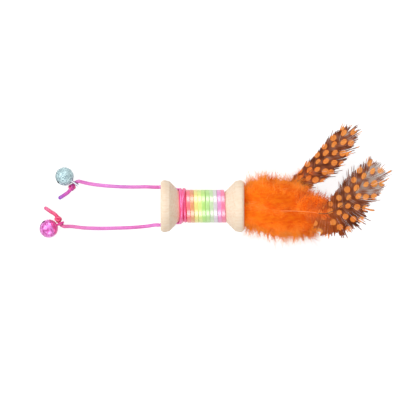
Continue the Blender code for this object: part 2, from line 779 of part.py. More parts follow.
def plume_ring(shape, t):
    """A plume's outline at t: round on its outer corner, and square where it meets the others."""
    middle, half_y, half_z = plume_section(shape, t)
    ring = []
    for k in range(PLUME_SEGMENTS):
        a = math.tau * k / PLUME_SEGMENTS
        is_outer = math.cos(a) * shape[0] > 0 and math.sin(a) * shape[1] > 0
        squareness = PLUME_SQUARENESS if is_outer else PLUME_INNER_SQUARENESS
        y = half_y * squared(math.cos(a), squareness)
        z = half_z * squared(math.sin(a), squareness)
        point = middle + Vector((0, y, z))
        point.z = max(point.z, FLOOR)
        ring.append(point)
    return ring


def make_plume(name, shape, toy, orange):
    """A soft lobe, flat where it lies on the floor, on its own quill."""
    rings = []
    for i in range(PLUME_STATIONS):
        t = math.sin(math.pi / 2 * PLUME_BLUNTNESS * i / (PLUME_STATIONS - 1))
        rings.append(plume_ring(shape, t))
    plume = add(name, loft(name, rings), toy, orange)
    join = plume.modifiers.new("quill", "BOOLEAN")
    join.operation = "UNION"
    join.object = helper(name + "_quill", mesh_of(plume_quill(name, shape), Vector()), toy)


def between(values, t):
    """The value at t from 0 to 1 along evenly spaced values, eased between them."""
    place = min(max(t, 0.0), 1.0) * (len(values) - 1)
    i = min(int(place), len(values) - 2)
    return values[i] + (values[i + 1] - values[i]) * smooth_step(place - i)


def make_guinea_feather(name, feather, toy, spotted):
    """A round quill that flattens into a thin vane, as one loft along the shaft."""
    y, z = quill_places()[name]
    lies_at = Vector((SPOOL_LENGTH, 0, feather["lies_at"]))
    shaft = [lies_at + Vector(point) for point in feather["shaft"]]
    inside = [Vector((quill_start(), y, z)), Vector((SPOOL_LENGTH, y, z))]
    line = smooth_curve([inside[1], *shaft], FEATHER_SPACING)
    first_station = len(smooth_curve([inside[1], shaft[0]], FEATHER_SPACING))
    for place in line:
        place.y += tuft_line(place.x - SPOOL_LENGTH)
    rings = []
    stations = [inside[0], *line]
    for i, place in enumerate(stations):
        along = (stations[min(i + 1, len(stations) - 1)] - stations[max(i - 1, 0)]).normalized()
        across = Vector((0, 0, 1)).cross(along).normalized()
        up = along.cross(across)
        t = max(0.0, (i - first_station) / (len(stations) - 1 - first_station))
        left = QUILL_DIAMETER / 2 + between(feather["left"], t)
        right = QUILL_DIAMETER / 2 + between(feather["right"], t)
        is_quill = max(left, right) < QUILL_DIAMETER
        thickness = QUILL_DIAMETER if is_quill else FEATHER_THICKNESS
        ring = []
        for k in range(FEATHER_SEGMENTS):
            a = math.tau * k / FEATHER_SEGMENTS
            reach = left if math.cos(a) > 0 else right
            ring.append(place + across * (reach * math.cos(a)) + up * (thickness / 2 * math.sin(a)))
        rings.append(ring)
    add(name, loft(name, rings), toy, spotted)


def make_feathers(toy, finishes):
    make_plug(toy, finishes["glue"])
    for name, shape in PLUMES.items():
        make_plume(name, shape, toy, finishes["marabou"])
    for name, feather in GUINEA_FEATHERS.items():
        make_guinea_feather(name, feather, toy, finishes["guinea"])


def stand_on_floor(toy):
    """Moves the toy so that its box without the strings and knots stands centred on z = 0."""
    bpy.context.view_layer.update()
    graph = bpy.context.evaluated_depsgraph_get()
    corners = []
    for obj in bpy.context.scene.objects:
        if obj.type == "EMPTY" or obj.hide_render or obj.name.endswith(("_string", "_knot")):
            continue
        found = obj.evaluated_get(graph)
        mesh = found.to_mesh()
        corners += [found.matrix_world @ v.co for v in mesh.vertices]
        found.to_mesh_clear()
    middle = [(min(c[i] for c in corners) + max(c[i] for c in corners)) / 2 for i in (0, 1)]
    toy.location = (-middle[0], -middle[1], -FLOOR)
    bpy.context.view_layer.update()
    for obj in bpy.context.scene.objects:
        if obj.type == "EMPTY":
            print(obj.name, [round(v * 1000, 3) for v in obj.matrix_world.translation])


def main():
    clear_scene()
    toy = empty("toy", None, Matrix.Identity(4))
    finishes = {
        "wood": material(*WOOD),
        "rainbow": material(*WOUND_CORD),
        "pink": material(*PINK_CORD),
        "steel": material(*STEEL),
        "glue": material(*GLUE),
        "marabou": material(*MARABOU),
        "guinea": material(*GUINEA),
    }
    make_spool(toy, finishes["wood"])
    make_bridle(toy, finishes["pink"])
    make_winding(toy, finishes["rainbow"])
    make_strings_and_bells(toy, finishes)
    make_feathers(toy, finishes)
    stand_on_floor(toy)


main()
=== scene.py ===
"""The looks of a cat toy made from a wooden thread spool.

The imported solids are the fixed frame. Each visible one is replaced by a finer piece in the
same place: turned birch, satin cord, pressed bells, marabou down and spotted feathers.

Toy coordinates, in metres: x = 0 on the outer face of the left flange, +X towards the
feathers, and y = z = 0 on the spool's axis, so the floor is one flange radius below.
Every piece is modelled in them, and its object stands at the toy's origin in the frame.
"""

import json
import math

import bmesh
import bpy
import numpy as np
from mathutils import Matrix, Vector

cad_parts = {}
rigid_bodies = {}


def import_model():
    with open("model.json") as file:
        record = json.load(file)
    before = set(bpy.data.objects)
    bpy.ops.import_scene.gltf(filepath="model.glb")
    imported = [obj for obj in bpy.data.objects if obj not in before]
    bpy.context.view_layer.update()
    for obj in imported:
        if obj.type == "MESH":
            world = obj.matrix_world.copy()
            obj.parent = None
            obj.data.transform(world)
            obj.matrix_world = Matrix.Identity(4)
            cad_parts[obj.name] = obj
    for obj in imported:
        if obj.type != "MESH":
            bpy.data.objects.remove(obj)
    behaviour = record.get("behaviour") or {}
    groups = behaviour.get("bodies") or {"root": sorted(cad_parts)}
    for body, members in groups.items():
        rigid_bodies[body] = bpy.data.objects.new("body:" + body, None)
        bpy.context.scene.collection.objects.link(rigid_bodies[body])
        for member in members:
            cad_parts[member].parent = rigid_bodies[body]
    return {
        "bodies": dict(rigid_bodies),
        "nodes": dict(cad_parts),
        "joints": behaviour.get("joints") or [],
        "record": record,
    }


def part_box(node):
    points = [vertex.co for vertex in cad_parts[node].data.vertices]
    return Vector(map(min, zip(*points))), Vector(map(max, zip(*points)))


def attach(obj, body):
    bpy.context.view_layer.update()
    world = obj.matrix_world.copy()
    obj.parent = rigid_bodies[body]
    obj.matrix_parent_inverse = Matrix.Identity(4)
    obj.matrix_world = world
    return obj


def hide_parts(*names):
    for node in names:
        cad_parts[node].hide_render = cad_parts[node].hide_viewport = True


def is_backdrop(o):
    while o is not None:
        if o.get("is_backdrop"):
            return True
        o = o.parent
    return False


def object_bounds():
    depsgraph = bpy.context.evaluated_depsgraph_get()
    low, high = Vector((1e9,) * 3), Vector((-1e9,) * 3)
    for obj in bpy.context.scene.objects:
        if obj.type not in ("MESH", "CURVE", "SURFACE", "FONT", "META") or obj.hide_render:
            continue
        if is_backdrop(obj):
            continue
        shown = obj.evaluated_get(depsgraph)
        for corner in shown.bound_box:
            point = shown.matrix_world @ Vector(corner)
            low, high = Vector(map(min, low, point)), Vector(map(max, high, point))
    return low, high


# Spool
SPOOL_LENGTH = 0.045
FLANGE_RADIUS = 0.014
BARREL_RADIUS = 0.0069
RIM_WIDTH = 0.0042
RIM_ROUNDING = 0.0012
BORE_RADIUS = 0.004
BORE_CHAMFER = 0.0006
RIM_CROWN = 0.0004
CORD_HOLE_RADIUS = 0.00135
CORD_HOLE_OFFSET = 0.0102
CORD_HOLE_SLANT = math.radians(9.5)
CORD_HOLE_EXIT = 0.00961
CORD_HOLE_MOUTH_RADIUS = 0.0028
SPOOL_SEGMENTS = 128
SPOOL_SHARP_ANGLE = 25
SHARP_ANGLE = 40
HOLE_SEGMENTS = 32
FLOOR = -FLANGE_RADIUS

# Cord. A gloss is an index of refraction, a strength of bump and a colour of highlights.
# A span is a start and a length. The bridle's span and lengths are in half turns.
CORD_RADIUS = 0.0010
CORD_STEP = 0.0005
CORD_SIDES = 24
CORD_LAY = 0.0030
CORD_THREADS = 11
THREAD_DEPTH = 0.00008
CORD_END_ANGLES = (84.6, 63.9, 43.2, 22.5)
WINDING_RADIUS = 0.0079
WINDING_START = 0.0144
WINDING_END = 0.0342
WINDING_TURNS = 9.5
WINDING_WANDER = 0.00005
WINDING_HALF_WIDTH = 0.00105
WINDING_SQUARENESS = 10.0
WINDING_SIDES = 48
WINDING_GLOSS = (2.3, 0.05, (1.0, 1.0, 1.0, 1.0))
BRIDLE_GLOSS = (2.55, 0.05, (1.0, 0.45, 1.0, 1.0))
STRING_GLOSS = (1.5, 0.2, (1.0, 1.0, 1.0, 1.0))
POINTS_PER_TURN = 72
BRIDLE_LIFT = 0.00095
BRIDLE_LIFT_SPAN = (3.2, 0.7)
BRIDLE_POINTS = 400
BRIDLE_BEND = 0.0007
BRIDLE_BEND_LENGTH = 0.10
BRIDLE_SETTLE_LENGTH = 0.11
BRIDLE_TUCK = 0.0005
BRIDLE_LEAD_POINTS = 20
BRIDLE_STRIDE = 4

# The bridle's route: half turns round the barrel, and the x that it has reached.
BRIDLE_ROUTE = (
    (0.0, 0.0106), (0.1, 0.0106), (1.0, 0.0115), (1.95, 0.0124),
    (3.0, 0.0134), (4.05, 0.0126), (4.9, 0.0107), (5.0, 0.0106),
)

# Strings, knots and bells
STRING_STRAIGHT = 0.0022
STRING_ROOT_GAP = 0.0001
RING_BEND_RADIUS = 0.0036
RING_BEND_ANGLE = math.radians(55)
RING_BEND_STEPS = 5
KNOT_OFFSET = 0.00265
KNOT_RADIUS = 0.00205
KNOT_LENGTH = 0.0032
KNOT_STRAND_RADIUS = 0.00068
KNOT_FACE_GAP = 0.0003
KNOT_DIP = 0.0004
KNOT_POINTS = 120
BELL_RADIUS = 0.005
BELL_WALL = 0.0004
BELL_SEAM_HEIGHT = 0.0016
BELL_SEAM_GAP = 0.0002
SEAM_TUCK = 0.00036
SEAM_TUCK_ANGLE = 0.07
BELL_SEGMENTS = 72
SHELL_STEPS = 30
SLOT_WIDTH = 0.0006
SLOT_END_RADIUS = 0.00085
SLOT_END_ANGLE = math.radians(107)
SLOT_END_SEGMENTS = 28
SHANK_HOLE_RADIUS = 0.00175
SHANK_HOLE_HEIGHT = 0.0067
SHANK_THICKNESS = 0.0006
SHANK_WIDTH = 0.0013
SHANK_SIDES = 20
SHANK_LEG_POINTS = 8
SHANK_ARCH_POINTS = 25
SHANK_SQUARENESS = 5.0
LEG_SLOT_GAP = 0.0003
LEG_SLOT_HALF_WIDTH = 0.00091
SHANK_FOOT_HEIGHT = 0.0031
SHANK_DROOP = math.radians(10)
BALL_RADIUS = 0.0014
BALL_PLACE = 0.0029
BALL_BAND = 0.00002
BALL_BAND_ANGLE = 0.06
BALL_SEGMENTS = 40
BALL_POINTS = 33
# Depths below a bell's outside past which faces take the near-black painted shade.
PAINTED_SHADE_BELOW = {"bell_cap": BELL_WALL * 0.8, "bell_cup": BELL_WALL / 4}

# Quills and the dense down of the plumes
QUILL_RADIUS = 0.00045
QUILL_START = 0.0363
QUILL_CIRCLE_RADIUS = 0.00245
QUILL_SIDES = 10
QUILL_STEP = 0.0015
QUILL_TIP_SHARE = 0.2
PLUME_HALF_GAP = 0.00075
PLUME_OVERLAP = 0.0004
PLUME_HEIGHT = 0.0136
PLUME_QUILL_SHARES = (0.35, 0.6, 0.85)
PLUME_SQUARENESS = 2.8
PLUME_INNER_SQUARENESS = 9.0
PLUME_DRIFT = -0.0026
PLUME_DRIFT_LENGTH = 0.020
PLUME_BLUNTNESS = 1.2
PLUME_BLUNT_SPAN = (0.7, 0.3)
UNDERCOAT_SHARE = 0.84
UNDERCOAT_REACH = 0.985
UNDERCOAT_LUMPS = 0.0002
ROOT_TUCK = 0.10
ROOT_TUCK_SHARE = 0.35
UNDERCOAT_RINGS = 40
UNDERCOAT_SIDES = 44

# Loose down. Its shades: at a plume's root, the fall towards its tip, which is painted shade,
# the depth of patches, and the rise at the sides of its tip, which is painted light.
STRAND_COUNT = 10500
STRAND_HALF_WIDTH = 0.00007
STRAND_LENGTHS = (0.0016, 0.0038)
STRAND_TAPER = (1.0, 0.85, 0.6)
STRAND_SCATTER = 0.16
STRAND_CURL = 0.26
STRAND_LEAN = 0.12
STRAND_SHADES = 48
SHADE_SCATTER = 0.18
WISP_COUNT = 85
HAIRS_PER_WISP = 7
WISP_LENGTHS = (0.0045, 0.0088)
WISP_HALF_WIDTH = 0.00012
WISP_SPREAD = 0.16
WISP_SCATTER = 0.0003
STRAY_COUNT = 100
STRAY_LENGTHS = (0.005, 0.009)
STRAY_HALF_WIDTH = 0.0001
DOWN_SOFTNESS = 0.9
DOWN_REACH = 0.96
DOWN_DEPTHS = (0.86, 0.98)
DOWN_PARTING_SPAN = (0.0008, 0.004)
DOWN_INNER_SIDES = (-0.8, -0.55)
DOWN_BACK_SWEEP = (0.15, 0.8)
DOWN_SIDE_SWEEP = 0.74
DOWN_STAND = 0.5
DOWN_SCATTER = 0.42
DOWN_SHADES = (0.76, 0.72, 0.2, 0.35)
FLOOR_CLEARANCE = 0.0001

# Spotted feathers. The spots' dye starts and is full at two values of nearness to a spot.
# The spots next to the shaft have the lesser half width.
SHAFT_STEP = 0.0008
SHAFT_TAPER = ((0.0, 0.3, 1.0), (1.0, 0.5, 0.2))
VANE_STEP = 0.00022
VANE_JITTER = 0.3
VANE_BARB_HALF_WIDTH = 0.00018
VANE_BARB_RIDGE = 0.00007
VANE_BARB_POINTS = 22
VANE_BARB_BEND = 0.2
VANE_LENGTH_SHARES = (0.87, 1.1)
VANE_WEBBED = 0.86
VANE_TIP_LENGTH = 0.12
VANE_TIP_SHARES = (0.5, 0.25)
VANE_LONG_SHARE = 0.16
VANE_LONG_BARB = 1.22
VANE_CLUMP = 0.0021
VANE_CLUMP_PULL = 0.08
VANE_CLUMP_SPAN = (0.35, 0.65)
VANE_LOOSE_PULL = 0.55
VANE_LOOSE_LENGTH = 0.3
VANE_THICKNESS = 0.0002
VANE_RISE = 0.0005
VANE_OVERLAP = 0.6
VANE_SHADE = 0.42
VANE_SHADE_SCATTER = 0.1
VANE_PATCH_SHADE = 0.22
VANE_THIN_SHADE = 0.8
VANE_FOOT_SHARE = 0.40
DYE_FROM = 0.49
DYE_FULL = 0.55
SPOT_STEP = 0.0053
SPOT_STAGGER = 0.42
SPOT_SIDE_SHIFT = 0.3
SPOT_STEP_GROWTH = 0.02
SPOT_HALF_LENGTH = 0.00169
SPOT_HALF_WIDTHS = (0.00114, 0.00147)
SPOT_SCATTER = (0.00035, 0.00021)
SPOT_SIZE_SCATTER = (0.88, 1.1)
SPOT_SIZES = (1.0, 1.18)
SPOT_SIZES_AT = (0.3, 0.9)
SPOT_COVER = 0.8
SPOT_COVER_SPAN = (0.45, 0.1)
PAINTED_SHADE_RADIUS = 0.0026
PAINTED_SHADE_DEPTH = 0.5
BASE_DOWN_LENGTHS = (0.003, 0.008)
BASE_DOWN_ANGLES = (0.5, 1.6)
BASE_DOWN_RISE = 0.0012
BASE_DOWN_CURVE = 1.4
BASE_LOBE_OFFSET = (0.0030, -0.0042)
BASE_LOBE_HALF_SIZE = (0.0050, 0.0024)
BASE_LOBE_REACH = 0.49
BASE_LOBE_RINGS = 24
BASE_LOBE_SIDES = 32
BASE_LOBE_STRANDS = 2600
BASE_LOBE_SWEEP = (0.6, 0.1, 0.0)
BASE_LOBE_SHADES = (0.5, 0.2)
BASE_EDGE_HAIRS = 320
BASE_EDGE_SIDE = 0.75
BASE_EDGE_STAND = 0.6
FEATHER_SEED = 10

# Material slots after the first: a plume's, and then a spotted feather's.
PLUME_QUILL_SLOT, PLUME_COAT_SLOT, PLUME_PALE_SLOT = range(1, 4)
QUILL_SLOT, RACHIS_SLOT, BASE_DOWN_SLOT, LOBE_COAT_SLOT, LOBE_DOWN_SLOT = range(1, 6)

# Each string: its side, its length, and its route as x, y and height above the floor, as the
# solids have it. Its bell lies at bell_place with its shank along heading, and slot_turn
# turns the bell's slot. The tail is the free end past its knot.
STRINGS = {
    "upper": {
        "side": 1,
        "route": (
            (-0.0080, 0.0104, 0.0131), (-0.0140, 0.0103, 0.0100), (-0.0200, 0.0104, 0.0062),
            (-0.0260, 0.0107, 0.0030), (-0.0310, 0.0111, 0.0016), (-0.0360, 0.0117, 0.0015),
            (-0.0400, 0.0124, 0.0023),
        ),
        "bell_place": (-0.0519, 0.0160),
        "heading": math.radians(-33.5),
        "tail": (
            (-0.0503, 0.0072, 0.0033), (-0.0522, 0.0059, 0.0026), (-0.0544, 0.0045, 0.0017),
        ),
        "slot_turn": math.radians(-20),
        "length": 0.0505,
    },
    "lower": {
        "side": -1,
        "route": (
            (-0.0080, -0.0109, 0.0131), (-0.0150, -0.0115, 0.0095), (-0.0220, -0.0118, 0.0055),
            (-0.0290, -0.0120, 0.0026), (-0.0350, -0.0120, 0.0015), (-0.0420, -0.0117, 0.0014),
            (-0.0478, -0.0110, 0.0021),
        ),
        "bell_place": (-0.0604, -0.0121),
        "heading": math.radians(23.0),
        "tail": (
            (-0.0572, -0.0043, 0.0035), (-0.0595, -0.0029, 0.0029), (-0.0621, -0.0011, 0.0020),
        ),
        "slot_turn": math.radians(20),
        "length": 0.0580,
    },
}

# Each plume: its side in y and in z, its length, its full width in y, how full it already
# is at the flange, and the share of its length where it is fullest.
PLUMES = {
    "marabou_plume_top_left": (1, 1, 0.039, 0.0172, 0.66, 0.38),
    "marabou_plume_top_right": (-1, 1, 0.045, 0.0128, 0.90, 0.68),
    "marabou_plume_bottom_left": (1, -1, 0.037, 0.0166, 0.66, 0.38),
    "marabou_plume_bottom_right": (-1, -1, 0.043, 0.0132, 0.90, 0.68),
}

# Each spotted feather: where its quill enters the plug, the height that it lies at, and its
# shaft past the right flange. The vane runs between two shares of the shaft. On each side,
# from its foot to its tip, it has its barbs' lengths, their angles to the shaft in degrees,
# how closely they cover, the places of its columns of spots, and from which share of the
# vane its barbs stand apart in clumps. Below it, loose down grows between two shares of the
# shaft, with its count of strands, and a lobe of dense down may lie between two more. Each
# patch of painted shade, where barbs overlap, has a share of the shaft and a place beside
# it. foot_dye is how far the spots' dye has run into the vane's foot, and spots_from is
# where the first spots lie, in steps.
SPOTTED_FEATHERS = {
    "guinea_feather_upper": {
        "root": (1, 0),
        "lies_at": 0.0,
        "shaft": (
            (0.008, 0.0044, 0.0000), (0.016, 0.0086, 0.0000), (0.024, 0.0122, 0.0000),
            (0.034, 0.0201, 0.0006), (0.044, 0.0296, 0.0014), (0.052, 0.0384, 0.0022),
            (0.0585, 0.0458, 0.0028),
        ),
        "vane": (0.20, 0.92),
        "left": {
            "lengths": (0.003, 0.005, 0.0070, 0.0088, 0.0104, 0.0090, 0.005),
            "angles": (45, 42, 36, 32, 30, 26, 8),
            "cover": (1.0, 1.0, 1.0, 1.0, 0.95, 0.85, 0.75),
            "columns": (0.0011, 0.0041),
            "loose_from": 0.7,
        },
        "right": {
            "lengths": (0.004, 0.0090, 0.0124, 0.0130, 0.0126, 0.0112, 0.0070),
            "angles": (52, 50, 47, 44, 41, 30, 10),
            "cover": (1.0, 1.0, 1.0, 1.0, 0.95, 0.85, 0.75),
            "columns": (0.0022, 0.0056, 0.0087),
            "loose_from": 0.72,
        },
        "base_down": (0.30, 0.50, 260),
        "base_lobe": None,
        "painted_shade_patches": (),
        "foot_dye": 0.012,
        "spots_from": 0.2,
    },
    "guinea_feather_lower": {
        "root": (0, 1),
        "lies_at": PLUME_HALF_GAP + PLUME_HEIGHT,
        "shaft": (
            (0.009, 0.0000, -0.0086), (0.018, 0.0000, -0.0038), (0.027, 0.0000, 0.0004),
            (0.036, -0.0006, 0.0014), (0.0438, -0.0014, 0.0002), (0.0520, 0.0026, -0.0018),
            (0.0585, 0.0086, -0.0034), (0.0640, 0.0166, -0.0048), (0.0690, 0.0264, -0.0060),
        ),
        "vane": (0.43, 0.97),
        "left": {
            "lengths": (0.0035, 0.0065, 0.0100, 0.0118, 0.0130, 0.0122, 0.0105, 0.0080, 0.0030),
            "angles": (65, 60, 52, 44, 36, 30, 22, 14, 8),
            "cover": (0.9, 1.0, 1.0, 0.95, 0.9, 0.85, 0.75, 0.6, 0.45),
            "columns": (0.0010, 0.0042),
            "loose_from": 0.3,
        },
        "right": {
            "lengths": (0.0080, 0.0120, 0.0142, 0.0132, 0.0108, 0.0140, 0.0140, 0.0095, 0.0030),
            "angles": (98, 95, 88, 80, 70, 56, 44, 28, 10),
            "cover": (0.9, 1.0, 1.0, 1.0, 0.9, 0.55, 0.42, 0.40, 0.40),
            "columns": (0.0024, 0.0060, 0.0096, 0.0126),
            "loose_from": 0.8,
        },
        "base_down": (0.34, 0.50, 520),
        "base_lobe": (0.28, 0.49),
        "painted_shade_patches": ((0.60, -0.0093), (0.54, -0.0102)),
        "foot_dye": 0.032,
        "spots_from": 0.5,
    },
}

# Camera and light
FRAME_WIDTH = 0.2154
FRAME_CENTRE = (0.0212, 0.0033)
CAMERA_LENS = 800.0
CAMERA_SENSOR = 36.0
AMBIENT = 0.28
KEY_PLACE = (-0.62, 0.16, 0.62)
KEY_BOX = (0.6, 0.6)
KEY_POWER = 3.8
SIDE_PLACE = (0.47, 0.37)
SIDE_BOX = (0.32, 0.40)
SIDE_POWER = 1.5
FLOOR_HALF_SIZE = 3.0
FLOOR_COLOUR = 0.45
FLOOR_LIFT = 0.78


def paint(colour):
    """A colour as a shader takes it, from screen values up to 255 or from one linear grey."""
    if isinstance(colour, float):
        return (colour, colour, colour, 1.0)
    parts = [c / 255 for c in colour]
    return (*[c / 12.92 if c < 0.04 else ((c + 0.055) / 1.055) ** 2.4 for c in parts], 1.0)


class Graph:
    """The nodes of one material or world, with short calls for them."""

    def __init__(self, name, kind="materials"):
        self.data = getattr(bpy.data, kind).new(name)
        self.data.use_nodes = True
        self.tree = self.data.node_tree

    def fill(self, node, inputs):
        """Gives inputs of a node their values or links."""
        for key, value in inputs.items():
            if isinstance(value, bpy.types.NodeSocket):
                self.tree.links.new(value, node.inputs[key])
            else:
                node.inputs[key].default_value = value

    def node(self, kind, inputs, **settings):
        made = self.tree.nodes.new("ShaderNode" + kind)
        for key, value in settings.items():
            setattr(made, key, value)
        self.fill(made, inputs)
        return made

    def math(self, operation, a, b=0.0):
        return self.node("Math", {0: a, 1: b}, operation=operation).outputs[0]

    def mix(self, a, b, factor=1.0, blend="MULTIPLY"):
        """Two colours combined by a blend mode."""
        return self.node("Mix", {0: factor, 6: a, 7: b}, data_type="RGBA", blend_type=blend).outputs[2]

    def ramp(self, factor, stops, ease="LINEAR"):
        made = self.node("ValToRGB", {"Fac": factor})
        made.color_ramp.interpolation = ease
        elements = made.color_ramp.elements
        while len(elements) < len(stops):
            elements.new(1.0)
        for element, (place, colour) in zip(elements, stops):
            element.position = place
            element.color = paint(colour)
        return made.outputs["Color"]

    def noise(self, place, scale, detail=3.0):
        scaled = self.node("Mapping", {"Vector": place, "Scale": scale}).outputs[0]
        return self.node("TexNoise", {"Vector": scaled, "Scale": 1.0, "Detail": detail}).outputs[0]

    def on_object(self):
        return self.node("TexCoord", {}).outputs["Object"]

    def on_map(self):
        """The place on the piece's own map."""
        return self.node("UVMap", {}, uv_map="OFBake").outputs[0]

    def parts(self, place):
        """The x and the y of a place."""
        made = self.node("SeparateXYZ", {"Vector": place})
        return made.outputs["X"], made.outputs["Y"]

    def seen_directly(self):
        """1 for what the camera sees itself, in a mirror or through glass, and else 0."""
        rays = self.node("LightPath", {}).outputs
        seen = self.math("MAXIMUM", rays["Is Camera Ray"], rays["Is Glossy Ray"])
        return self.math("MAXIMUM", seen, rays["Is Transmission Ray"])

    def bump(self, height, strength, distance):
        made = self.node("Bump", {"Height": height, "Strength": strength, "Distance": distance})
        self.fill(self.tree.nodes["Principled BSDF"], {"Normal": made.outputs[0]})

    def finish(self, colour, **values):
        """Sets the shader's colour and its plain values, and returns the material."""
        inputs = {key.replace("_", " "): value for key, value in values.items()}
        self.fill(self.tree.nodes["Principled BSDF"], {"Base Color": colour, **inputs})
        return self.data


def birch():
    """Pale sanded birch: streaks along the spool, with faint rings on its end faces."""
    g = Graph("birch_wood")
    place = g.on_object()
    streaks = g.noise(place, (70, 1100, 1100), 5.0)
    clouds = g.noise(place, (90, 160, 160), 2.0)
    pith = g.node("Mapping", {"Vector": place, "Location": (0, 0.004, 0.003), "Scale": (0, 1, 1)})
    from_pith = g.node("VectorMath", {0: pith.outputs[0]}, operation="LENGTH").outputs["Value"]
    rings = g.math("SINE", g.math("MULTIPLY", from_pith, 5200.0))
    grain = g.math("ADD", streaks, g.math("MULTIPLY", rings, 0.05))
    wood = g.ramp(grain, [(0.30, (245, 217, 186)), (0.62, (251, 231, 207))])
    colour = g.mix(wood, g.ramp(clouds, [(0.3, 0.96), (0.7, 1.0)]), 0.5)
    g.bump(grain, 0.25, 0.0001)
    return g.finish(colour, Roughness=0.55)


def satin(name, stops, line, gloss):
    """Satin cord, dyed along its line, with the slant of its threads as a bump."""
    ior, bump, tint = gloss
    length = lengths_along(line)[-1]
    g = Graph(name)
    place = g.on_map()
    along, around = g.parts(place)
    dye = g.ramp(along, stops, "EASE")
    turns = g.math("MULTIPLY", along, length / CORD_LAY)
    slant = g.math("ADD", g.math("MULTIPLY", around, CORD_THREADS), turns)
    thread = g.math("SINE", g.math("MULTIPLY", slant, math.tau))
    streak = g.noise(place, (length * 500, 5, 1), 2.0)
    g.bump(thread, bump, THREAD_DEPTH)
    return g.finish(
        g.mix(dye, g.ramp(streak, [(0.3, 0.86), (0.7, 1.0)])),
        Roughness=0.33, IOR=ior, Specular_Tint=tint,
        Coat_Weight=0.3, Coat_IOR=ior * 0.75, Coat_Roughness=0.24,
    )


def pressed_metal(name, low, high, flake, roughness, metallic, dent):
    """Lacquered sheet metal with a stippled surface: flakes and soft blotches of colour."""
    g = Graph(name)
    place = g.on_object()
    blotch = g.noise(place, [0.5 / flake] * 3, 3.0)
    cells = g.node("TexVoronoi", {"Vector": place, "Scale": 1 / flake}).outputs["Color"]
    sparkle = g.math("MULTIPLY", g.parts(cells)[0], 0.3)
    tone = g.math("ADD", g.math("MULTIPLY", blotch, 0.7), sparkle)
    colour = g.ramp(tone, [(0.28, low), (0.68, high)])
    g.bump(tone, dent, 0.0002)
    return g.finish(colour, Roughness=roughness, Metallic=metallic, Coat_Weight=0.4, Coat_Roughness=0.15)


def bright_steel():
    g = Graph("bright_steel")
    brushed = g.noise(g.on_object(), (900, 4000, 900), 2.0)
    colour = g.ramp(brushed, [(0.35, (120, 120, 146)), (0.65, (222, 222, 234))])
    return g.finish(colour, Roughness=0.18, Metallic=1.0)


def strap_steel_painted_highlight():
    """Plated strap, with a painted highlight along its middle and painted shade along its edges."""
    g = Graph("strap_steel_painted_highlight")
    place = g.on_map()
    around = g.math("MULTIPLY", g.parts(place)[1], math.tau)
    from_edge = g.math("ABSOLUTE", g.math("SINE", around))
    streak = g.noise(place, (3, 40, 1), 2.0)
    # Painted highlight on the strap's flat faces and painted shade at its edges, with brushed streaks over
    # them.
    tone = g.math("ADD", g.math("POWER", from_edge, 8.0), g.math("MULTIPLY", streak, 0.2))
    colour = g.ramp(tone, [(0.3, (44, 38, 76)), (0.7, (128, 126, 156)), (1.0, (244, 244, 252))])
    return g.finish(colour, Roughness=0.2, Metallic=1.0)


def painted_bell_shade():
    """Near-black dull metal: painted shade in a bell's insides, the walls of its holes and the gap of its
    seam.
    """
    g = Graph("painted_bell_shade")
    stain = g.noise(g.on_object(), (800, 800, 800), 3.0)
    colour = g.ramp(stain, [(0.3, (16, 14, 18)), (0.7, (40, 34, 42))])
    return g.finish(colour, Roughness=0.7, Specular_IOR_Level=0.05)


def set_glue():
    g = Graph("clear_glue")
    cloud = g.noise(g.on_object(), (400, 400, 400), 3.0)
    colour = g.ramp(cloud, [(0.3, (226, 214, 188)), (0.7, (244, 240, 226))])
    g.bump(cloud, 0.4, 0.0004)
    return g.finish(colour, Roughness=0.25)


DOWN_FINISH = {
    "Roughness": 0.9, "Specular_IOR_Level": 0.1,
    "Sheen_Weight": 0.5, "Sheen_Roughness": 0.5, "Sheen_Tint": paint((255, 150, 60)),
}


def soft_down(name, root, middle, tip):
    """Dyed down: each strand has one of a row of shades, and its dye changes from root to tip."""
    g = Graph(name)
    across, along = g.parts(g.on_map())
    number = g.math("FLOOR", g.math("MULTIPLY", across, STRAND_SHADES))
    dye = g.ramp(along, [(0.0, root), (0.5, middle), (1.0, tip)])
    share = g.math("DIVIDE", number, STRAND_SHADES)
    # The shades darken the dye: partly random tone, partly painted shade towards a plume's tip and painted
    # light at its sides.
    shade = g.ramp(share, [(0.0, (214, 150, 110)), (0.6, 1.0)])
    return g.finish(g.mix(dye, shade), **DOWN_FINISH)


def dense_down():
    """Dyed down in clumps, darkened towards the feathers' tips by painted shade."""
    g = Graph("orange_undercoat")
    place = g.on_object()
    clumps = g.noise(place, (250, 600, 600), 4.0)
    dye = g.ramp(clumps, [(0.3, (238, 88, 5)), (0.7, (253, 130, 17))])
    # Painted shade: darker along +X, towards the feathers' tips.
    along = g.math("DIVIDE", g.parts(place)[0], SPOOL_LENGTH * 2)
    tip_painted_shade = g.ramp(along, [(0.6, 1.0), (0.95, (228, 196, 160))])
    g.bump(clumps, 0.5, 0.0006)
    return g.finish(g.mix(dye, tip_painted_shade), **DOWN_FINISH)


def quill_horn(name, low, high):
    g = Graph(name)
    along = g.noise(g.on_object(), (300, 2000, 2000), 2.0)
    return g.finish(g.ramp(along, [(0.3, low), (0.7, high)]), Roughness=0.4)


def spotted_vane():
    """Dark barbs with dyed spots. The map holds each barb's shade and how near a spot is."""
    g = Graph("spotted_vane")
    shade, nearness = g.parts(g.on_map())
    dark = g.ramp(shade, [
        (0.0, (50, 26, 15)), (0.45, (136, 70, 40)), (0.72, (162, 108, 86)),
        (1.0, (200, 186, 178)),
    ])
    spot = g.ramp(shade, [(0.0, (255, 146, 56)), (1.0, (255, 174, 94))])
    edge = g.ramp(nearness, [(0.52, (240, 180, 90)), (0.56, 1.0)])
    inside = g.ramp(nearness, [(DYE_FROM, 0.0), (DYE_FULL, 1.0)])
    colour = g.mix(dark, g.mix(spot, edge), inside, "MIX")
    return g.finish(colour, Roughness=0.7, Specular_IOR_Level=0.2)


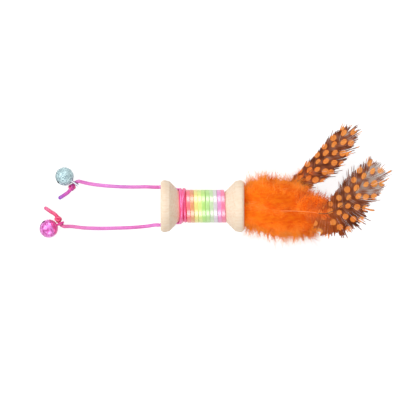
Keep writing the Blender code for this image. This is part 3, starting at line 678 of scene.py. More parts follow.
class Skin:
    """Gathers points, faces and each corner's place on the map into one mesh."""

    def __init__(self):
        self.points = []
        self.faces = []
        self.places = []
        self.slots = []
        self.count = 0

    def points_from(self, points):
        """Adds points, and returns the number of the first."""
        first = self.count
        self.points.append(points.reshape(-1, 3))
        self.count += len(self.points[-1])
        return first

    def faces_from(self, faces, places, slot=0):
        """Adds faces with the same number of corners, and their corners' places."""
        self.faces.append(faces)
        self.places.append(places.reshape(-1, 2))
        self.slots.append(np.full(len(faces), slot))

    def mesh(self, name, materials, softness=0.0):
        """The mesh. Softness turns its normals upwards, as down spreads light through itself."""
        made = bpy.data.meshes.new(name)
        points = np.concatenate(self.points).astype(np.float32)
        corners = np.concatenate([f.ravel() for f in self.faces]).astype(np.int32)
        sizes = np.concatenate([np.full(len(f), f.shape[1]) for f in self.faces])
        made.vertices.add(len(points))
        made.vertices.foreach_set("co", points.ravel())
        made.loops.add(len(corners))
        made.loops.foreach_set("vertex_index", corners)
        made.polygons.add(len(sizes))
        made.polygons.foreach_set("loop_start", (np.cumsum(sizes) - sizes).astype(np.int32))
        made.polygons.foreach_set("material_index", np.concatenate(self.slots).astype(np.int32))
        made.update(calc_edges=True)
        layer = made.uv_layers.new(name="OFBake")
        layer.uv.foreach_set("vector", np.concatenate(self.places).astype(np.float32).ravel())
        for material in materials:
            made.materials.append(material)
        made.shade_smooth()
        if softness:
            normals = np.empty((len(points), 3), np.float32)
            made.vertex_normals.foreach_get("vector", normals.ravel())
            made.normals_split_custom_set_from_vertices(unit(normals + (0.0, 0.0, softness)))
        return made


def unit(vectors):
    return vectors / np.maximum(np.linalg.norm(vectors, axis=-1, keepdims=True), 1e-12)


def smooth_curve(points, spacing):
    """Points about spacing apart on a Catmull-Rom curve through the given ones."""
    points = [np.array(p, float) for p in points]
    ends = [points[0] * 2 - points[1], *points, points[-1] * 2 - points[-2]]
    found = [points[0]]
    for before, a, b, after in zip(ends, ends[1:], ends[2:], ends[3:]):
        steps = max(1, round(float(np.linalg.norm(b - a)) / spacing))
        for i in range(1, steps + 1):
            t = i / steps
            found.append(0.5 * (
                2 * a + (b - before) * t
                + (2 * before - 5 * a + 4 * b - after) * t**2
                + (3 * a - before - 3 * b + after) * t**3
            ))
    return np.array(found)


def lengths_along(line):
    steps = np.linalg.norm(np.diff(line, axis=0), axis=1)
    return np.concatenate([[0.0], np.cumsum(steps)])


def directions(line):
    return unit(np.gradient(line, axis=0))


def square_to(vectors, along):
    """The part of the vectors at right angles to unit directions, at unit length."""
    return unit(vectors - along * (vectors * along).sum(-1, keepdims=True))


def carried_across(line):
    """A direction across the line at each point, which turns with it as little as it can."""
    along = directions(line)
    across = [unit(np.cross(along[0], (0.0, 0.0, 1.0)))]
    for direction in along[1:]:
        across.append(square_to(across[-1], direction))
    return np.array(across)


def pressed_circle(turn, squareness):
    """The two sides of a unit circle at turn. Its corners fill out with a squareness over 2."""
    return [np.sign(side) * np.abs(side) ** (2 / squareness) for side in (np.cos(turn), np.sin(turn))]


def rings_round(line, across, half_width, half_height, sides, squareness=2.0):
    """Rings of points round a line. The width lies along across, and corners may fill out."""
    up = np.cross(directions(line), across)
    wide, high = pressed_circle(math.tau * np.arange(sides) / sides, squareness)
    half_width = np.broadcast_to(half_width, len(line))[:, None, None]
    half_height = np.broadcast_to(half_height, len(line))[:, None, None]
    offset = across[:, None] * wide[:, None] * half_width + up[:, None] * high[:, None] * half_height
    return line[:, None] + offset


def round_rings(line, radii, sides):
    return rings_round(line, carried_across(line), radii, radii, sides)


def add_tube(skin, rings, slot=0):
    """Joins rings into a tube with closed ends. The map runs along it and round it."""
    count, sides = rings.shape[:2]
    index = skin.points_from(rings) + np.arange(count * sides).reshape(count, sides)
    after = np.roll(index, -1, axis=1)
    quads = np.stack((index[:-1], after[:-1], after[1:], index[1:]), -1).reshape(-1, 4)
    reach = lengths_along(rings.mean(axis=1))
    u, v = np.meshgrid(reach / reach[-1], np.arange(sides + 1) / sides, indexing="ij")
    places = np.stack((u, v), -1)
    corners = (places[:-1, :-1], places[:-1, 1:], places[1:, 1:], places[1:, :-1])
    skin.faces_from(quads, np.stack(corners, -2), slot)
    for ring, place in ((index[0][::-1], places[0, :-1]), (index[-1], places[-1, :-1])):
        skin.faces_from(ring[None], place, slot)


def rounded_end(line):
    """A cord's line and its radii, with half a ball added before its first point."""
    angles = np.radians(CORD_END_ANGLES)
    dome = line[0] + unit(line[0] - line[1]) * CORD_RADIUS * np.sin(angles)[:, None]
    radii = np.concatenate([CORD_RADIUS * np.cos(angles), np.full(len(line), CORD_RADIUS)])
    return np.concatenate([dome, line]), radii


def add_cord(skin, line, round_end=True):
    """A round cord along a line, with a rounded start."""
    line, radii = rounded_end(line)
    if round_end:
        back, more = rounded_end(line[::-1])
        line = back[::-1]
        radii = np.concatenate([radii, more[: len(back) - len(radii)][::-1]])
    add_tube(skin, round_rings(line, radii, CORD_SIDES))


def add_strands(skin, lines, across, half_widths, ridges, columns=None, places=None, slot=0):
    """Closed three-sided strands that taper to a point.

    lines has a row of points for each strand. A strand's map is its own column of shades,
    from root to tip, unless places gives the place of each point.
    """
    count, points = lines.shape[:2]
    rings = points - 1
    along = unit(np.gradient(lines, axis=1))
    wide = square_to(across[:, None], along)
    up = np.cross(along, wide)
    profile = ((1.0, -0.33), (0.0, 0.67), (-1.0, -0.33))
    sides = [
        lines[:, :rings] + wide[:, :rings] * (w * half_widths)[..., None]
        + up[:, :rings] * (h * ridges)[..., None]
        for w, h in profile
    ]
    body = np.stack(sides, axis=2).reshape(count, rings * 3, 3)
    whole = np.concatenate([body, lines[:, -1:]], axis=1)
    each = rings * 3 + 1
    first = skin.points_from(whole) + np.arange(count)[:, None] * each
    ring = np.arange(3)
    after = (ring + 1) % 3
    steps = np.arange(rings - 1)[:, None] * 3
    quads = np.stack((steps + ring, steps + after, steps + 3 + after, steps + 3 + ring), -1).reshape(-1, 4)
    last = (rings - 1) * 3
    tips = np.stack((last + ring, last + after, np.full(3, each - 1)), -1)
    roots = np.array([[2, 1, 0]])
    if places is None:
        share = np.repeat(np.linspace(0.0, 1.0, points), 3)[:each]
        side = np.tile((0.2, 0.5, 0.8), points)[:each]
        side[-1] = 0.5
        u = (columns[:, None] + side) / STRAND_SHADES
        spots = np.stack((u, np.broadcast_to(share, u.shape)), -1)
    else:
        spots = np.concatenate([np.repeat(places[:, :rings], 3, axis=1), places[:, -1:]], axis=1)
    for faces in (quads, tips, roots):
        numbers = (first[..., None] + faces.reshape(1, 1, -1)).reshape(-1, faces.shape[1])
        skin.faces_from(numbers, spots[:, faces.ravel()], slot)


def turned_mesh(name, profile, axis, segments, sharp=SHARP_ANGLE):
    """A closed profile, given as (along the axis, radius), spun a full turn."""
    along = Vector(axis)
    out = Matrix.Rotation(math.pi / segments, 3, along) @ along.orthogonal().normalized()
    bm = bmesh.new()
    points = [bm.verts.new(along * a + out * r) for a, r in profile]
    edges = [bm.edges.new((points[i - 1], points[i])) for i in range(len(points))]
    bmesh.ops.spin(
        bm, geom=points + edges, cent=(0, 0, 0), axis=along,
        angle=math.tau, steps=segments, use_merge=True,
    )
    return finished(bm, name, sharp)


def shaded(mesh, sharp=SHARP_ANGLE):
    """The mesh, shaded smooth but for edges that turn by more than sharp degrees."""
    mesh.shade_smooth()
    mesh.set_sharp_from_angle(angle=math.radians(sharp))
    return mesh


def finished(bm, name, sharp=SHARP_ANGLE):
    """The mesh of bm, with its faces pointing out and shaded smooth between sharp edges."""
    bmesh.ops.remove_doubles(bm, verts=bm.verts, dist=1e-7)
    bmesh.ops.recalc_face_normals(bm, faces=bm.faces)
    mesh = bpy.data.meshes.new(name)
    bm.to_mesh(mesh)
    bm.free()
    return shaded(mesh, sharp)


def coat(mesh, material):
    """Gives a mesh one material in place of what it has."""
    mesh.materials.clear()
    mesh.materials.append(material)


def placed(name, data, matrix=Matrix.Identity(4)):
    """A new object in the scene."""
    made = bpy.data.objects.new(name, data)
    bpy.context.scene.collection.objects.link(made)
    made.matrix_world = matrix
    return made


def arc(centre, radius, start, end, steps):
    """Points of an arc in a plane, with angles in degrees."""
    angles = [math.radians(start + (end - start) * i / steps) for i in range(steps + 1)]
    return [(centre[0] + radius * math.cos(a), centre[1] + radius * math.sin(a)) for a in angles]


def carved(mesh, cutters):
    """The mesh with each cutter, a mesh and where it stands, taken out of it."""
    body = placed("carved", mesh)
    tools = [placed("cutter", *cutter) for cutter in cutters]
    for tool in tools:
        body.modifiers.new("cut", "BOOLEAN").object = tool
    graph = bpy.context.evaluated_depsgraph_get()
    made = bpy.data.meshes.new_from_object(body.evaluated_get(graph))
    for spent in (body, *tools):
        bpy.data.objects.remove(spent)
    return shaded(made)


def block(name, low, high):
    bm = bmesh.new()
    bmesh.ops.create_cube(bm, size=1.0)
    bmesh.ops.scale(bm, vec=Vector(high) - Vector(low), verts=bm.verts)
    bmesh.ops.translate(bm, vec=(Vector(high) + Vector(low)) / 2, verts=bm.verts)
    return finished(bm, name)


def rod(name, radius, start, end, axis, segments):
    profile = [(start, 0.0), (start, radius), (end, radius), (end, 0.0)]
    return turned_mesh(name, profile, axis, segments)


class Toy:
    """The frame that the pieces ride on, and where the toy's origin lies in it."""

    def __init__(self):
        for obj in list(bpy.data.objects):
            bpy.data.objects.remove(obj)
        self.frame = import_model()
        self.cad_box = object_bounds()
        low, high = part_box("spool")
        self.origin = Vector((low.x, (low.y + high.y) / 2, (low.z + high.z) / 2))

    def add(self, name, mesh, body, slot, nodes, matrix=Matrix.Identity(4)):
        """A piece that stands for nodes and rides on body. Its slot is not used."""
        piece = placed(name, mesh, Matrix.Translation(self.origin) @ matrix)
        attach(piece, body)
        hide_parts(*nodes)
        return piece


def hole_radius(x):
    """How far from the spool's axis the middle of a cord hole is. It slants inwards."""
    return CORD_HOLE_OFFSET - x * math.tan(CORD_HOLE_SLANT)


def make_spool(toy):
    """Crowned rims, flanges that slope to the barrel, a bore and two slanting cord holes."""
    edge = FLANGE_RADIUS - RIM_CROWN
    ease = RIM_ROUNDING * math.tan(math.pi / 8)
    left = [(0.0, BORE_RADIUS + BORE_CHAMFER)]
    left += arc((RIM_ROUNDING, edge - RIM_ROUNDING), RIM_ROUNDING, 180, 100, 8)
    for share in (0.2, 0.35, 0.5, 0.65, 0.8):
        x = RIM_WIDTH * share + ease * (0.5 - share)
        left.append((x, FLANGE_RADIUS - RIM_CROWN * (2 * share - 1) ** 2))
    left += arc((RIM_WIDTH - ease + RIM_CROWN, edge - RIM_ROUNDING), RIM_ROUNDING, 80, 45, 5)
    left += [(RIM_WIDTH + FLANGE_RADIUS - BARREL_RADIUS, BARREL_RADIUS)]
    right = [(SPOOL_LENGTH - x, r) for x, r in reversed(left)]
    bore = [(SPOOL_LENGTH - BORE_CHAMFER, BORE_RADIUS), (BORE_CHAMFER, BORE_RADIUS)]
    profile = left + right + bore
    solid = turned_mesh("turned_spool", profile, (1, 0, 0), SPOOL_SEGMENTS, SPOOL_SHARP_ANGLE)
    drill = rod("cord_hole", CORD_HOLE_RADIUS, -RIM_WIDTH, SPOOL_LENGTH / 2, (1, 0, 0), HOLE_SEGMENTS)
    half_round = arc((0.0, 0.0), CORD_HOLE_MOUTH_RADIUS, 0, 180, HOLE_SEGMENTS // 2)
    mouth = turned_mesh("cord_hole_mouth", half_round, (1, 0, 0), HOLE_SEGMENTS)
    cutters = []
    for side in (1, -1):
        slant = Matrix.Rotation(-side * CORD_HOLE_SLANT, 4, "Z")
        cutters.append((drill, Matrix.Translation((0, side * CORD_HOLE_OFFSET, 0)) @ slant))
        leaves = (CORD_HOLE_EXIT, side * hole_radius(CORD_HOLE_EXIT), 0)
        cutters.append((mouth, Matrix.Translation(leaves)))
    mesh = carved(solid, cutters)
    coat(mesh, birch())
    toy.add("turned_spool", mesh, "spool", "birch_wood", ["spool"])


def round_axis(x, radius, angle):
    """Points round the spool's axis. Angle 0 is +Y and a quarter turn is up."""
    return np.stack(np.broadcast_arrays(x, radius * np.cos(angle), radius * np.sin(angle)), -1)


def make_winding(toy):
    """One layer of satin cord, flattened where its turns press on each other."""
    turn = np.linspace(0.0, WINDING_TURNS, int(WINDING_TURNS * POINTS_PER_TURN) + 1)
    wander = WINDING_WANDER * (np.sin(turn * 4.1) + 0.6 * np.sin(turn * 11.3 + 1.0))
    x = WINDING_START + (WINDING_END - WINDING_START) * turn / WINDING_TURNS + wander
    line = round_axis(x, WINDING_RADIUS, math.tau * turn)
    across = square_to(np.broadcast_to((1.0, 0.0, 0.0), line.shape), directions(line))
    size = (WINDING_HALF_WIDTH, CORD_RADIUS, WINDING_SIDES, WINDING_SQUARENESS)
    skin = Skin()
    add_tube(skin, rings_round(line, across, *size))
    stops = [
        (0.00, (255, 76, 104)), (0.07, (244, 104, 70)), (0.15, (232, 144, 44)),
        (0.23, (248, 234, 110)), (0.34, (224, 242, 116)), (0.48, (166, 230, 84)),
        (0.60, (182, 228, 132)), (0.70, (206, 222, 188)), (0.78, (226, 210, 222)),
        (0.86, (238, 134, 205)), (0.93, (248, 98, 158)), (1.00, (250, 90, 140)),
    ]
    mesh = skin.mesh("satin_winding", [satin("rainbow_cord", stops, line, WINDING_GLOSS)])
    toy.add("satin_winding", mesh, "spool", "rainbow_cord", ["cord_winding"])


def smooth_step(t, start=0.0, length=1.0):
    """From 0 at start to 1 a length further on, eased at both ends."""
    t = np.clip((t - start) / length, 0.0, 1.0)
    return t * t * (3 - 2 * t)


def make_bridle(toy):
    """The middle of the string cord: out of one hole, two and a half turns round the foot
    of the cone, the last of them over the others, and into the other hole."""
    most = BRIDLE_ROUTE[-1][0]
    half_turns = np.linspace(0.0, most, BRIDLE_POINTS)
    from_end = np.minimum(half_turns, most - half_turns)
    start = CORD_HOLE_EXIT - BRIDLE_BEND
    bent = np.sin(np.arccos(1 - np.clip(from_end / BRIDLE_BEND_LENGTH, 0.0, 1.0)))
    x = start + (np.interp(half_turns, *zip(*BRIDLE_ROUTE)) - start) * bent
    on_cone = FLANGE_RADIUS - (x - RIM_WIDTH) + CORD_RADIUS * math.sqrt(2)
    over = BRIDLE_LIFT * smooth_step(half_turns, *BRIDLE_LIFT_SPAN)
    radius = np.maximum(np.maximum(WINDING_RADIUS, on_cone), WINDING_RADIUS + over)
    settled = smooth_step(from_end, 0.0, BRIDLE_SETTLE_LENGTH)
    radius = hole_radius(start) + (radius - hole_radius(start)) * settled
    inside = np.linspace(-BRIDLE_TUCK, start, BRIDLE_LEAD_POINTS)[:-1]
    lead_in = round_axis(inside, hole_radius(inside), 0.0)
    lead_out = round_axis(inside[::-1], hole_radius(inside[::-1]), math.pi)
    route = np.concatenate([lead_in, round_axis(x, radius, math.pi * half_turns), lead_out])
    line = smooth_curve(route[::BRIDLE_STRIDE], CORD_STEP)
    skin = Skin()
    add_cord(skin, line)
    stops = [
        (0.00, (232, 120, 200)), (0.15, (250, 58, 108)), (0.45, (248, 48, 84)),
        (0.70, (250, 56, 100)), (0.86, (250, 58, 108)), (1.00, (232, 120, 200)),
    ]
    mesh = skin.mesh("bridle_cord", [satin("bridle_cord", stops, line, BRIDLE_GLOSS)])
    toy.add("bridle_cord", mesh, "spool", "pink_cord", ["string_bridle"])


class BellPose:
    """Where one bell lies: its centre, the way its shank points, and the way to its knot."""

    def __init__(self, plan):
        heading = plan["heading"]
        flat = Vector((math.cos(heading), math.sin(heading), 0))
        self.centre = Vector((*plan["bell_place"], FLOOR + BELL_RADIUS))
        self.shank = flat * math.cos(SHANK_DROOP) - Vector((0, 0, math.sin(SHANK_DROOP)))
        self.to_knot = Vector((flat.y, -flat.x, 0)) * plan["side"]
        self.hole = self.centre + self.shank * SHANK_HOLE_HEIGHT
        self.knot = self.hole + self.to_knot * KNOT_OFFSET

    def matrix(self):
        """At the bell's centre, with Z along the shank and Y along the cord through it."""
        across = self.to_knot.cross(self.shank)
        turn = Matrix((across, self.to_knot, self.shank)).transposed().to_4x4()
        return Matrix.Translation(self.centre) @ turn


def above_floor(points):
    return [Vector((x, y, FLOOR + height)) for x, y, height in points]


def string_line(plan, pose):
    """From the root at the flange, down to the floor, and round into the shank."""
    root = Vector((-CORD_RADIUS - STRING_ROOT_GAP, plan["side"] * CORD_HOLE_OFFSET, 0))
    out = root - Vector((STRING_STRAIGHT, 0, 0))
    knot_face = pose.hole + pose.to_knot * (KNOT_OFFSET - KNOT_LENGTH / 2 - KNOT_FACE_GAP)
    bend = []
    for i in range(RING_BEND_STEPS):
        a = RING_BEND_ANGLE * (1 - i / RING_BEND_STEPS)
        outward = pose.shank * (RING_BEND_RADIUS * (1 - math.cos(a)))
        bend.append(knot_face + outward - pose.to_knot * (RING_BEND_RADIUS * math.sin(a)))
    return smooth_curve([root, out, *above_floor(plan["route"]), *bend, knot_face], CORD_STEP)


STRING_DYES = {
    "upper": [
        (0.00, (228, 104, 188)), (0.25, (236, 132, 212)), (0.45, (226, 126, 212)),
        (0.65, (238, 136, 222)), (0.85, (244, 130, 216)), (1.00, (240, 112, 202)),
    ],
    "lower": [
        (0.00, (240, 132, 220)), (0.20, (232, 112, 194)), (0.45, (238, 128, 212)),
        (0.65, (236, 124, 208)), (0.85, (246, 126, 196)), (1.00, (246, 108, 168)),
    ],
}
KNOT_DYES = {
    "upper": [(0.0, (232, 56, 150)), (0.5, (216, 72, 186)), (1.0, (160, 76, 204))],
    "lower": [(0.0, (240, 58, 110)), (0.5, (246, 78, 130)), (1.0, (248, 112, 164))],
}
WRAP_DYES = {
    "upper": [(0.0, (206, 60, 158)), (0.5, (244, 84, 158)), (1.0, (206, 60, 158))],
    "lower": [(0.0, (244, 70, 122)), (0.5, (250, 96, 140)), (1.0, (244, 70, 122))],
}


def make_string(toy, name, plan, pose):
    line = string_line(plan, pose)
    skin = Skin()
    add_cord(skin, line, round_end=False)
    material = satin(f"{name}_string_cord", STRING_DYES[name], line, STRING_GLOSS)
    mesh = skin.mesh(f"{name}_cord", [material])
    cord = toy.add(f"{name}_cord", mesh, f"{name}_string", "pink_cord", [f"{name}_string"])
    return cord, line + np.array(toy.origin)


def make_knot(toy, name, plan, pose):
    """A drawn-up stopper knot: wraps round the cord, and its free tail."""
    knot, along, shank = [np.array(part) for part in (pose.knot, pose.to_knot, pose.shank)]
    t = math.tau * np.linspace(0.0, 1.0, KNOT_POINTS + 1)[:, None]
    radius = KNOT_RADIUS - KNOT_STRAND_RADIUS - KNOT_DIP * (1 - np.cos(3 * t))
    wraps = knot + along * (KNOT_LENGTH / 2 - KNOT_STRAND_RADIUS) * np.sin(3 * t)
    wraps += radius * (np.cross(along, shank) * np.cos(2 * t) + shank * np.sin(2 * t))
    half = along * (KNOT_LENGTH / 2)
    tail = smooth_curve([knot - half, knot, knot + half, *above_floor(plan["tail"])], CORD_STEP)
    skin = Skin()
    add_cord(skin, tail)
    add_tube(skin, round_rings(wraps, KNOT_STRAND_RADIUS, CORD_SIDES), 1)
    materials = [
        satin(f"{name}_knot_tail", KNOT_DYES[name], tail, STRING_GLOSS),
        satin(f"{name}_knot_wrap", WRAP_DYES[name], wraps, STRING_GLOSS),
    ]
    mesh = skin.mesh(f"{name}_stopper_knot", materials)
    return toy.add(f"{name}_stopper_knot", mesh, f"{name}_string", "pink_cord", [f"{name}_knot"])


def shell_profile(from_angle, to_angle, tucked_at=None):
    """A band of the bell's wall, from the shank's pole, drawn in a little at tucked_at."""
    angles = np.linspace(from_angle, to_angle, SHELL_STEPS + 1)
    outer = np.full(len(angles), BELL_RADIUS)
    if tucked_at is not None:
        outer -= SEAM_TUCK * np.exp(-(((angles - tucked_at) / SEAM_TUCK_ANGLE) ** 2))
    inner = BELL_RADIUS - BELL_WALL
    outside = [(r * math.cos(a), r * math.sin(a)) for r, a in zip(outer, angles)]
    inside = [(inner * math.cos(a), inner * math.sin(a)) for a in angles]
    return outside + inside[::-1]


def cap_mesh():
    seam = math.acos(BELL_SEAM_HEIGHT / BELL_RADIUS)
    solid = turned_mesh("bell_cap", shell_profile(0.0, seam, seam), (0, 0, 1), BELL_SEGMENTS)
    low = (SHANK_HOLE_RADIUS - LEG_SLOT_GAP, -LEG_SLOT_HALF_WIDTH, 0)
    high = (SHANK_HOLE_RADIUS + SHANK_THICKNESS + LEG_SLOT_GAP, LEG_SLOT_HALF_WIDTH, BELL_RADIUS * 2)
    slot = block("leg_slot", low, high)
    return carved(solid, [(slot, Matrix.Rotation(turn, 4, "Z")) for turn in (0, math.pi)])


def cup_mesh(slot_turn):
    seam = math.acos((BELL_SEAM_HEIGHT - BELL_SEAM_GAP) / BELL_RADIUS)
    solid = turned_mesh("bell_cup", shell_profile(seam, math.pi), (0, 0, 1), BELL_SEGMENTS)
    reach = BELL_RADIUS * 2
    end_height = BELL_RADIUS * math.cos(SLOT_END_ANGLE)
    blade = block("slot", (-SLOT_WIDTH / 2, -reach, -reach), (SLOT_WIDTH / 2, reach, end_height))
    hole = rod("slot_end", SLOT_END_RADIUS, 0.0, reach, (0, 0, 1), SLOT_END_SEGMENTS)
    turn = Matrix.Rotation(slot_turn, 4, "Z")
    ends = [(hole, turn @ Matrix.Rotation(-side * SLOT_END_ANGLE, 4, "X")) for side in (1, -1)]
    return carved(solid, [(blade, turn), *ends])


def shank_mesh():
    """A strap bent into an arch, whose two legs go through the cap."""
    middle = SHANK_HOLE_RADIUS + SHANK_THICKNESS / 2
    legs = np.linspace(SHANK_FOOT_HEIGHT, SHANK_HOLE_HEIGHT, SHANK_LEG_POINTS)[:-1]
    arch = np.linspace(0.0, math.pi, SHANK_ARCH_POINTS)
    side = [(middle, z) for z in legs]
    side += [(middle * math.cos(a), SHANK_HOLE_HEIGHT + middle * math.sin(a)) for a in arch]
    side += [(-middle, z) for z in legs[::-1]]
    line = np.array([(x, 0.0, z) for x, z in side])
    across = np.broadcast_to((0.0, 1.0, 0.0), line.shape)
    skin = Skin()
    size = (SHANK_WIDTH / 2, SHANK_THICKNESS / 2, SHANK_SIDES, SHANK_SQUARENESS)
    add_tube(skin, rings_round(line, across, *size))
    return skin.mesh("bell_shank", [])


def ball_mesh():
    """A pressed steel ball with the faint band where its die closed."""
    angles = np.linspace(0.0, math.pi, BALL_POINTS)
    radii = BALL_RADIUS + BALL_BAND * np.exp(-(((angles - math.pi / 2) / BALL_BAND_ANGLE) ** 2))
    profile = [(r * math.cos(a), r * math.sin(a)) for r, a in zip(radii, angles)]
    return turned_mesh("bell_ball", profile, (0, 0, 1), BALL_SEGMENTS)


def paint_shade_inside(mesh, material, depth):
    """Gives what lies deeper than a depth below a bell's outside another material, its painted shade."""
    mesh.materials.append(material)
    for face in mesh.polygons:
        if face.center.length < BELL_RADIUS - depth:
            face.material_index = 1


# Each bell's lacquer, on its cap and on its cup: two colours, the size of its flakes, its
# roughness, how metallic it is and the strength of its dents.
AQUA = ((64, 96, 114), (216, 246, 248), 0.00032, 0.46, 0.35, 0.5)
BELL_LACQUERS = {
    "upper": ("aqua", AQUA, AQUA),
    "lower": (
        "magenta",
        ((210, 48, 132), (226, 70, 152), 0.0006, 0.3, 0.5, 0.06),
        ((176, 34, 130), (240, 140, 226), 0.0008, 0.28, 0.55, 0.4),
    ),
}


def make_bell(toy, name, plan, pose, steel, inside):
    """The cap, the slotted cup, the strap shank and the loose ball of one bell."""
    colour, *lacquers = BELL_LACQUERS[name]
    cap, cup = [
        pressed_metal(f"{colour}_{part}_metal", *lacquer) for part, lacquer in zip(("cap", "cup"), lacquers)
    ]
    lacquered = f"{colour}_bell_metal"
    place = pose.matrix()
    down = place.to_3x3().transposed() @ Vector((0, 0, -1))
    down.z = 0
    rests = place @ Matrix.Translation(down.normalized() * BALL_PLACE)
    shank_slot = lacquered if name == "lower" else "bright_steel"
    shank_metal = cap if name == "lower" else strap_steel_painted_highlight()
    pieces = (
        ("bell_cap", cap_mesh(), cap, f"{name}_bell", lacquered, place),
        ("bell_cup", cup_mesh(plan["slot_turn"]), cup, f"{name}_bell", lacquered, place),
        ("bell_shank", shank_mesh(), shank_metal, f"{name}_bell", shank_slot, place),
        ("bell_ball", ball_mesh(), steel, f"{name}_ball", "bright_steel", rests),
    )
    for node, mesh, material, body, slot, matrix in pieces:
        coat(mesh, material)
        # The insides and the seam's gap take near-black painted shade.
        if node in PAINTED_SHADE_BELOW:
            paint_shade_inside(mesh, inside, PAINTED_SHADE_BELOW[node])
        toy.add(f"{name}_pressed_{node}", mesh, body, slot, [f"{name}_{node}"], matrix)


def make_strings_and_bells(toy):
    steel = bright_steel()
    # Near-black painted shade for the insides of the bells.
    inside = painted_bell_shade()
    for name, plan in STRINGS.items():
        pose = BellPose(plan)
        cord, path = make_string(toy, name, plan, pose)
        knot = make_knot(toy, name, plan, pose)
        make_bell(toy, name, plan, pose, steel, inside)


def tuft_line(past_flange):
    """The y of the line that the plumes lie round."""
    return PLUME_DRIFT * smooth_step(past_flange, 0.0, PLUME_DRIFT_LENGTH)


def plume_share(t, root_share, shoulder):
    """How full a plume is at t, from 0 at the flange to 1 at its tip."""
    root = root_share + (1 - root_share) * np.sin(math.pi / 2 * np.minimum(1.0, t / shoulder))
    past = np.clip((t - shoulder) / (1 - shoulder), 0.0, 1.0)
    return np.where(t < shoulder, root, (1 - past**PLUME_SQUARENESS) ** (1 / PLUME_SQUARENESS))


def plume_section(shape, t, size=1.0):
    """A plume's middle at t, with its half width and half height. It shrinks from outside."""
    side_y, side_z, length, width, *fullness = shape
    past = t * length * np.sqrt(size)
    share = plume_share(t, *fullness) * size
    half_y = (width + PLUME_HALF_GAP + PLUME_OVERLAP) / 2 * share
    half_z = (PLUME_HEIGHT + PLUME_HALF_GAP + PLUME_OVERLAP) / 2 * share
    y = tuft_line(past) + side_y * (half_y - PLUME_OVERLAP)
    z = side_z * (half_z - PLUME_OVERLAP)
    return np.stack((SPOOL_LENGTH + past, y, z), -1), half_y, half_z


def keep_above_floor(lines):
    lines[..., 2] = np.maximum(lines[..., 2], FLOOR + FLOOR_CLEARANCE)
    return lines


def on_plume(shape, t, turn, size):
    """Points round a plume's section at t, and the way out of the plume there."""
    middle, half_y, half_z = plume_section(shape, t, size)
    outside = (np.cos(turn) * shape[0] > 0) & (np.sin(turn) * shape[1] > 0)
    y, z = pressed_circle(turn, np.where(outside, PLUME_SQUARENESS, PLUME_INNER_SQUARENESS))
    blunt = PLUME_BLUNTNESS * smooth_step(t, *PLUME_BLUNT_SPAN)
    point = middle + np.stack((np.zeros_like(y), half_y * y, half_z * z), -1)
    return point, unit(np.stack((np.broadcast_to(blunt, y.shape), y, z), -1))


def coat_share(t):
    """How much of a plume's outline its dense down fills, which is less next to the flange."""
    return UNDERCOAT_SHARE * (1 - ROOT_TUCK * (1 - smooth_step(t, 0.0, ROOT_TUCK_SHARE)))


def add_undercoat(skin, shape, rng):
    """The dense down next to the quill, as one soft lumpy body under the loose strands."""
    t = np.sin(math.pi / 2 * UNDERCOAT_REACH * np.linspace(0.0, 1.0, UNDERCOAT_RINGS))[:, None]
    turn = math.tau * np.arange(UNDERCOAT_SIDES)[None] / UNDERCOAT_SIDES
    phase = rng.uniform(0.0, math.tau, 4)
    swirl = t * 31 + phase[0] + 2 * np.sin(turn * 2 + phase[1])
    lumps = np.sin(swirl) * np.sin(turn * 5 + t * 9 + phase[2])
    lumps = lumps + 0.6 * np.sin(turn * 11 + t * 47 + phase[3]) + 1.5 * np.sin(t * 19 + 2 * turn + phase[1])
    t, turn = np.broadcast_arrays(t, turn)
    point, out = on_plume(shape, t, turn, coat_share(t))
    lumpy = point + out * (lumps * UNDERCOAT_LUMPS)[..., None]
    add_tube(skin, keep_above_floor(lumpy), PLUME_COAT_SLOT)


def strand_radii(count, half_width):
    return half_width * np.tile(STRAND_TAPER, (count, 1))


def grow(skin, rng, root, out, way, shade, lengths, half_width, slot):
    """Loose strands from their roots, that start along way and curl back from out."""
    count = len(root)
    way = unit(way + rng.normal(0.0, STRAND_SCATTER, (count, 3)))
    length = rng.uniform(*lengths, count)[:, None]
    curl = rng.normal(0.0, STRAND_CURL, (count, 3)) - STRAND_LEAN * out
    w = np.linspace(0.0, 1.0, len(STRAND_TAPER) + 1)[None, :, None]
    lines = root[:, None] + way[:, None] * length[:, None] * w + (curl * length)[:, None] * w**2
    shade = shade + rng.normal(0.0, SHADE_SCATTER, count)
    columns = np.clip(shade * STRAND_SHADES, 0, STRAND_SHADES - 1).astype(int)
    radii = strand_radii(count, half_width)
    across = rng.normal(size=(count, 3))
    add_strands(skin, keep_above_floor(lines), across, radii, radii, columns, slot=slot)


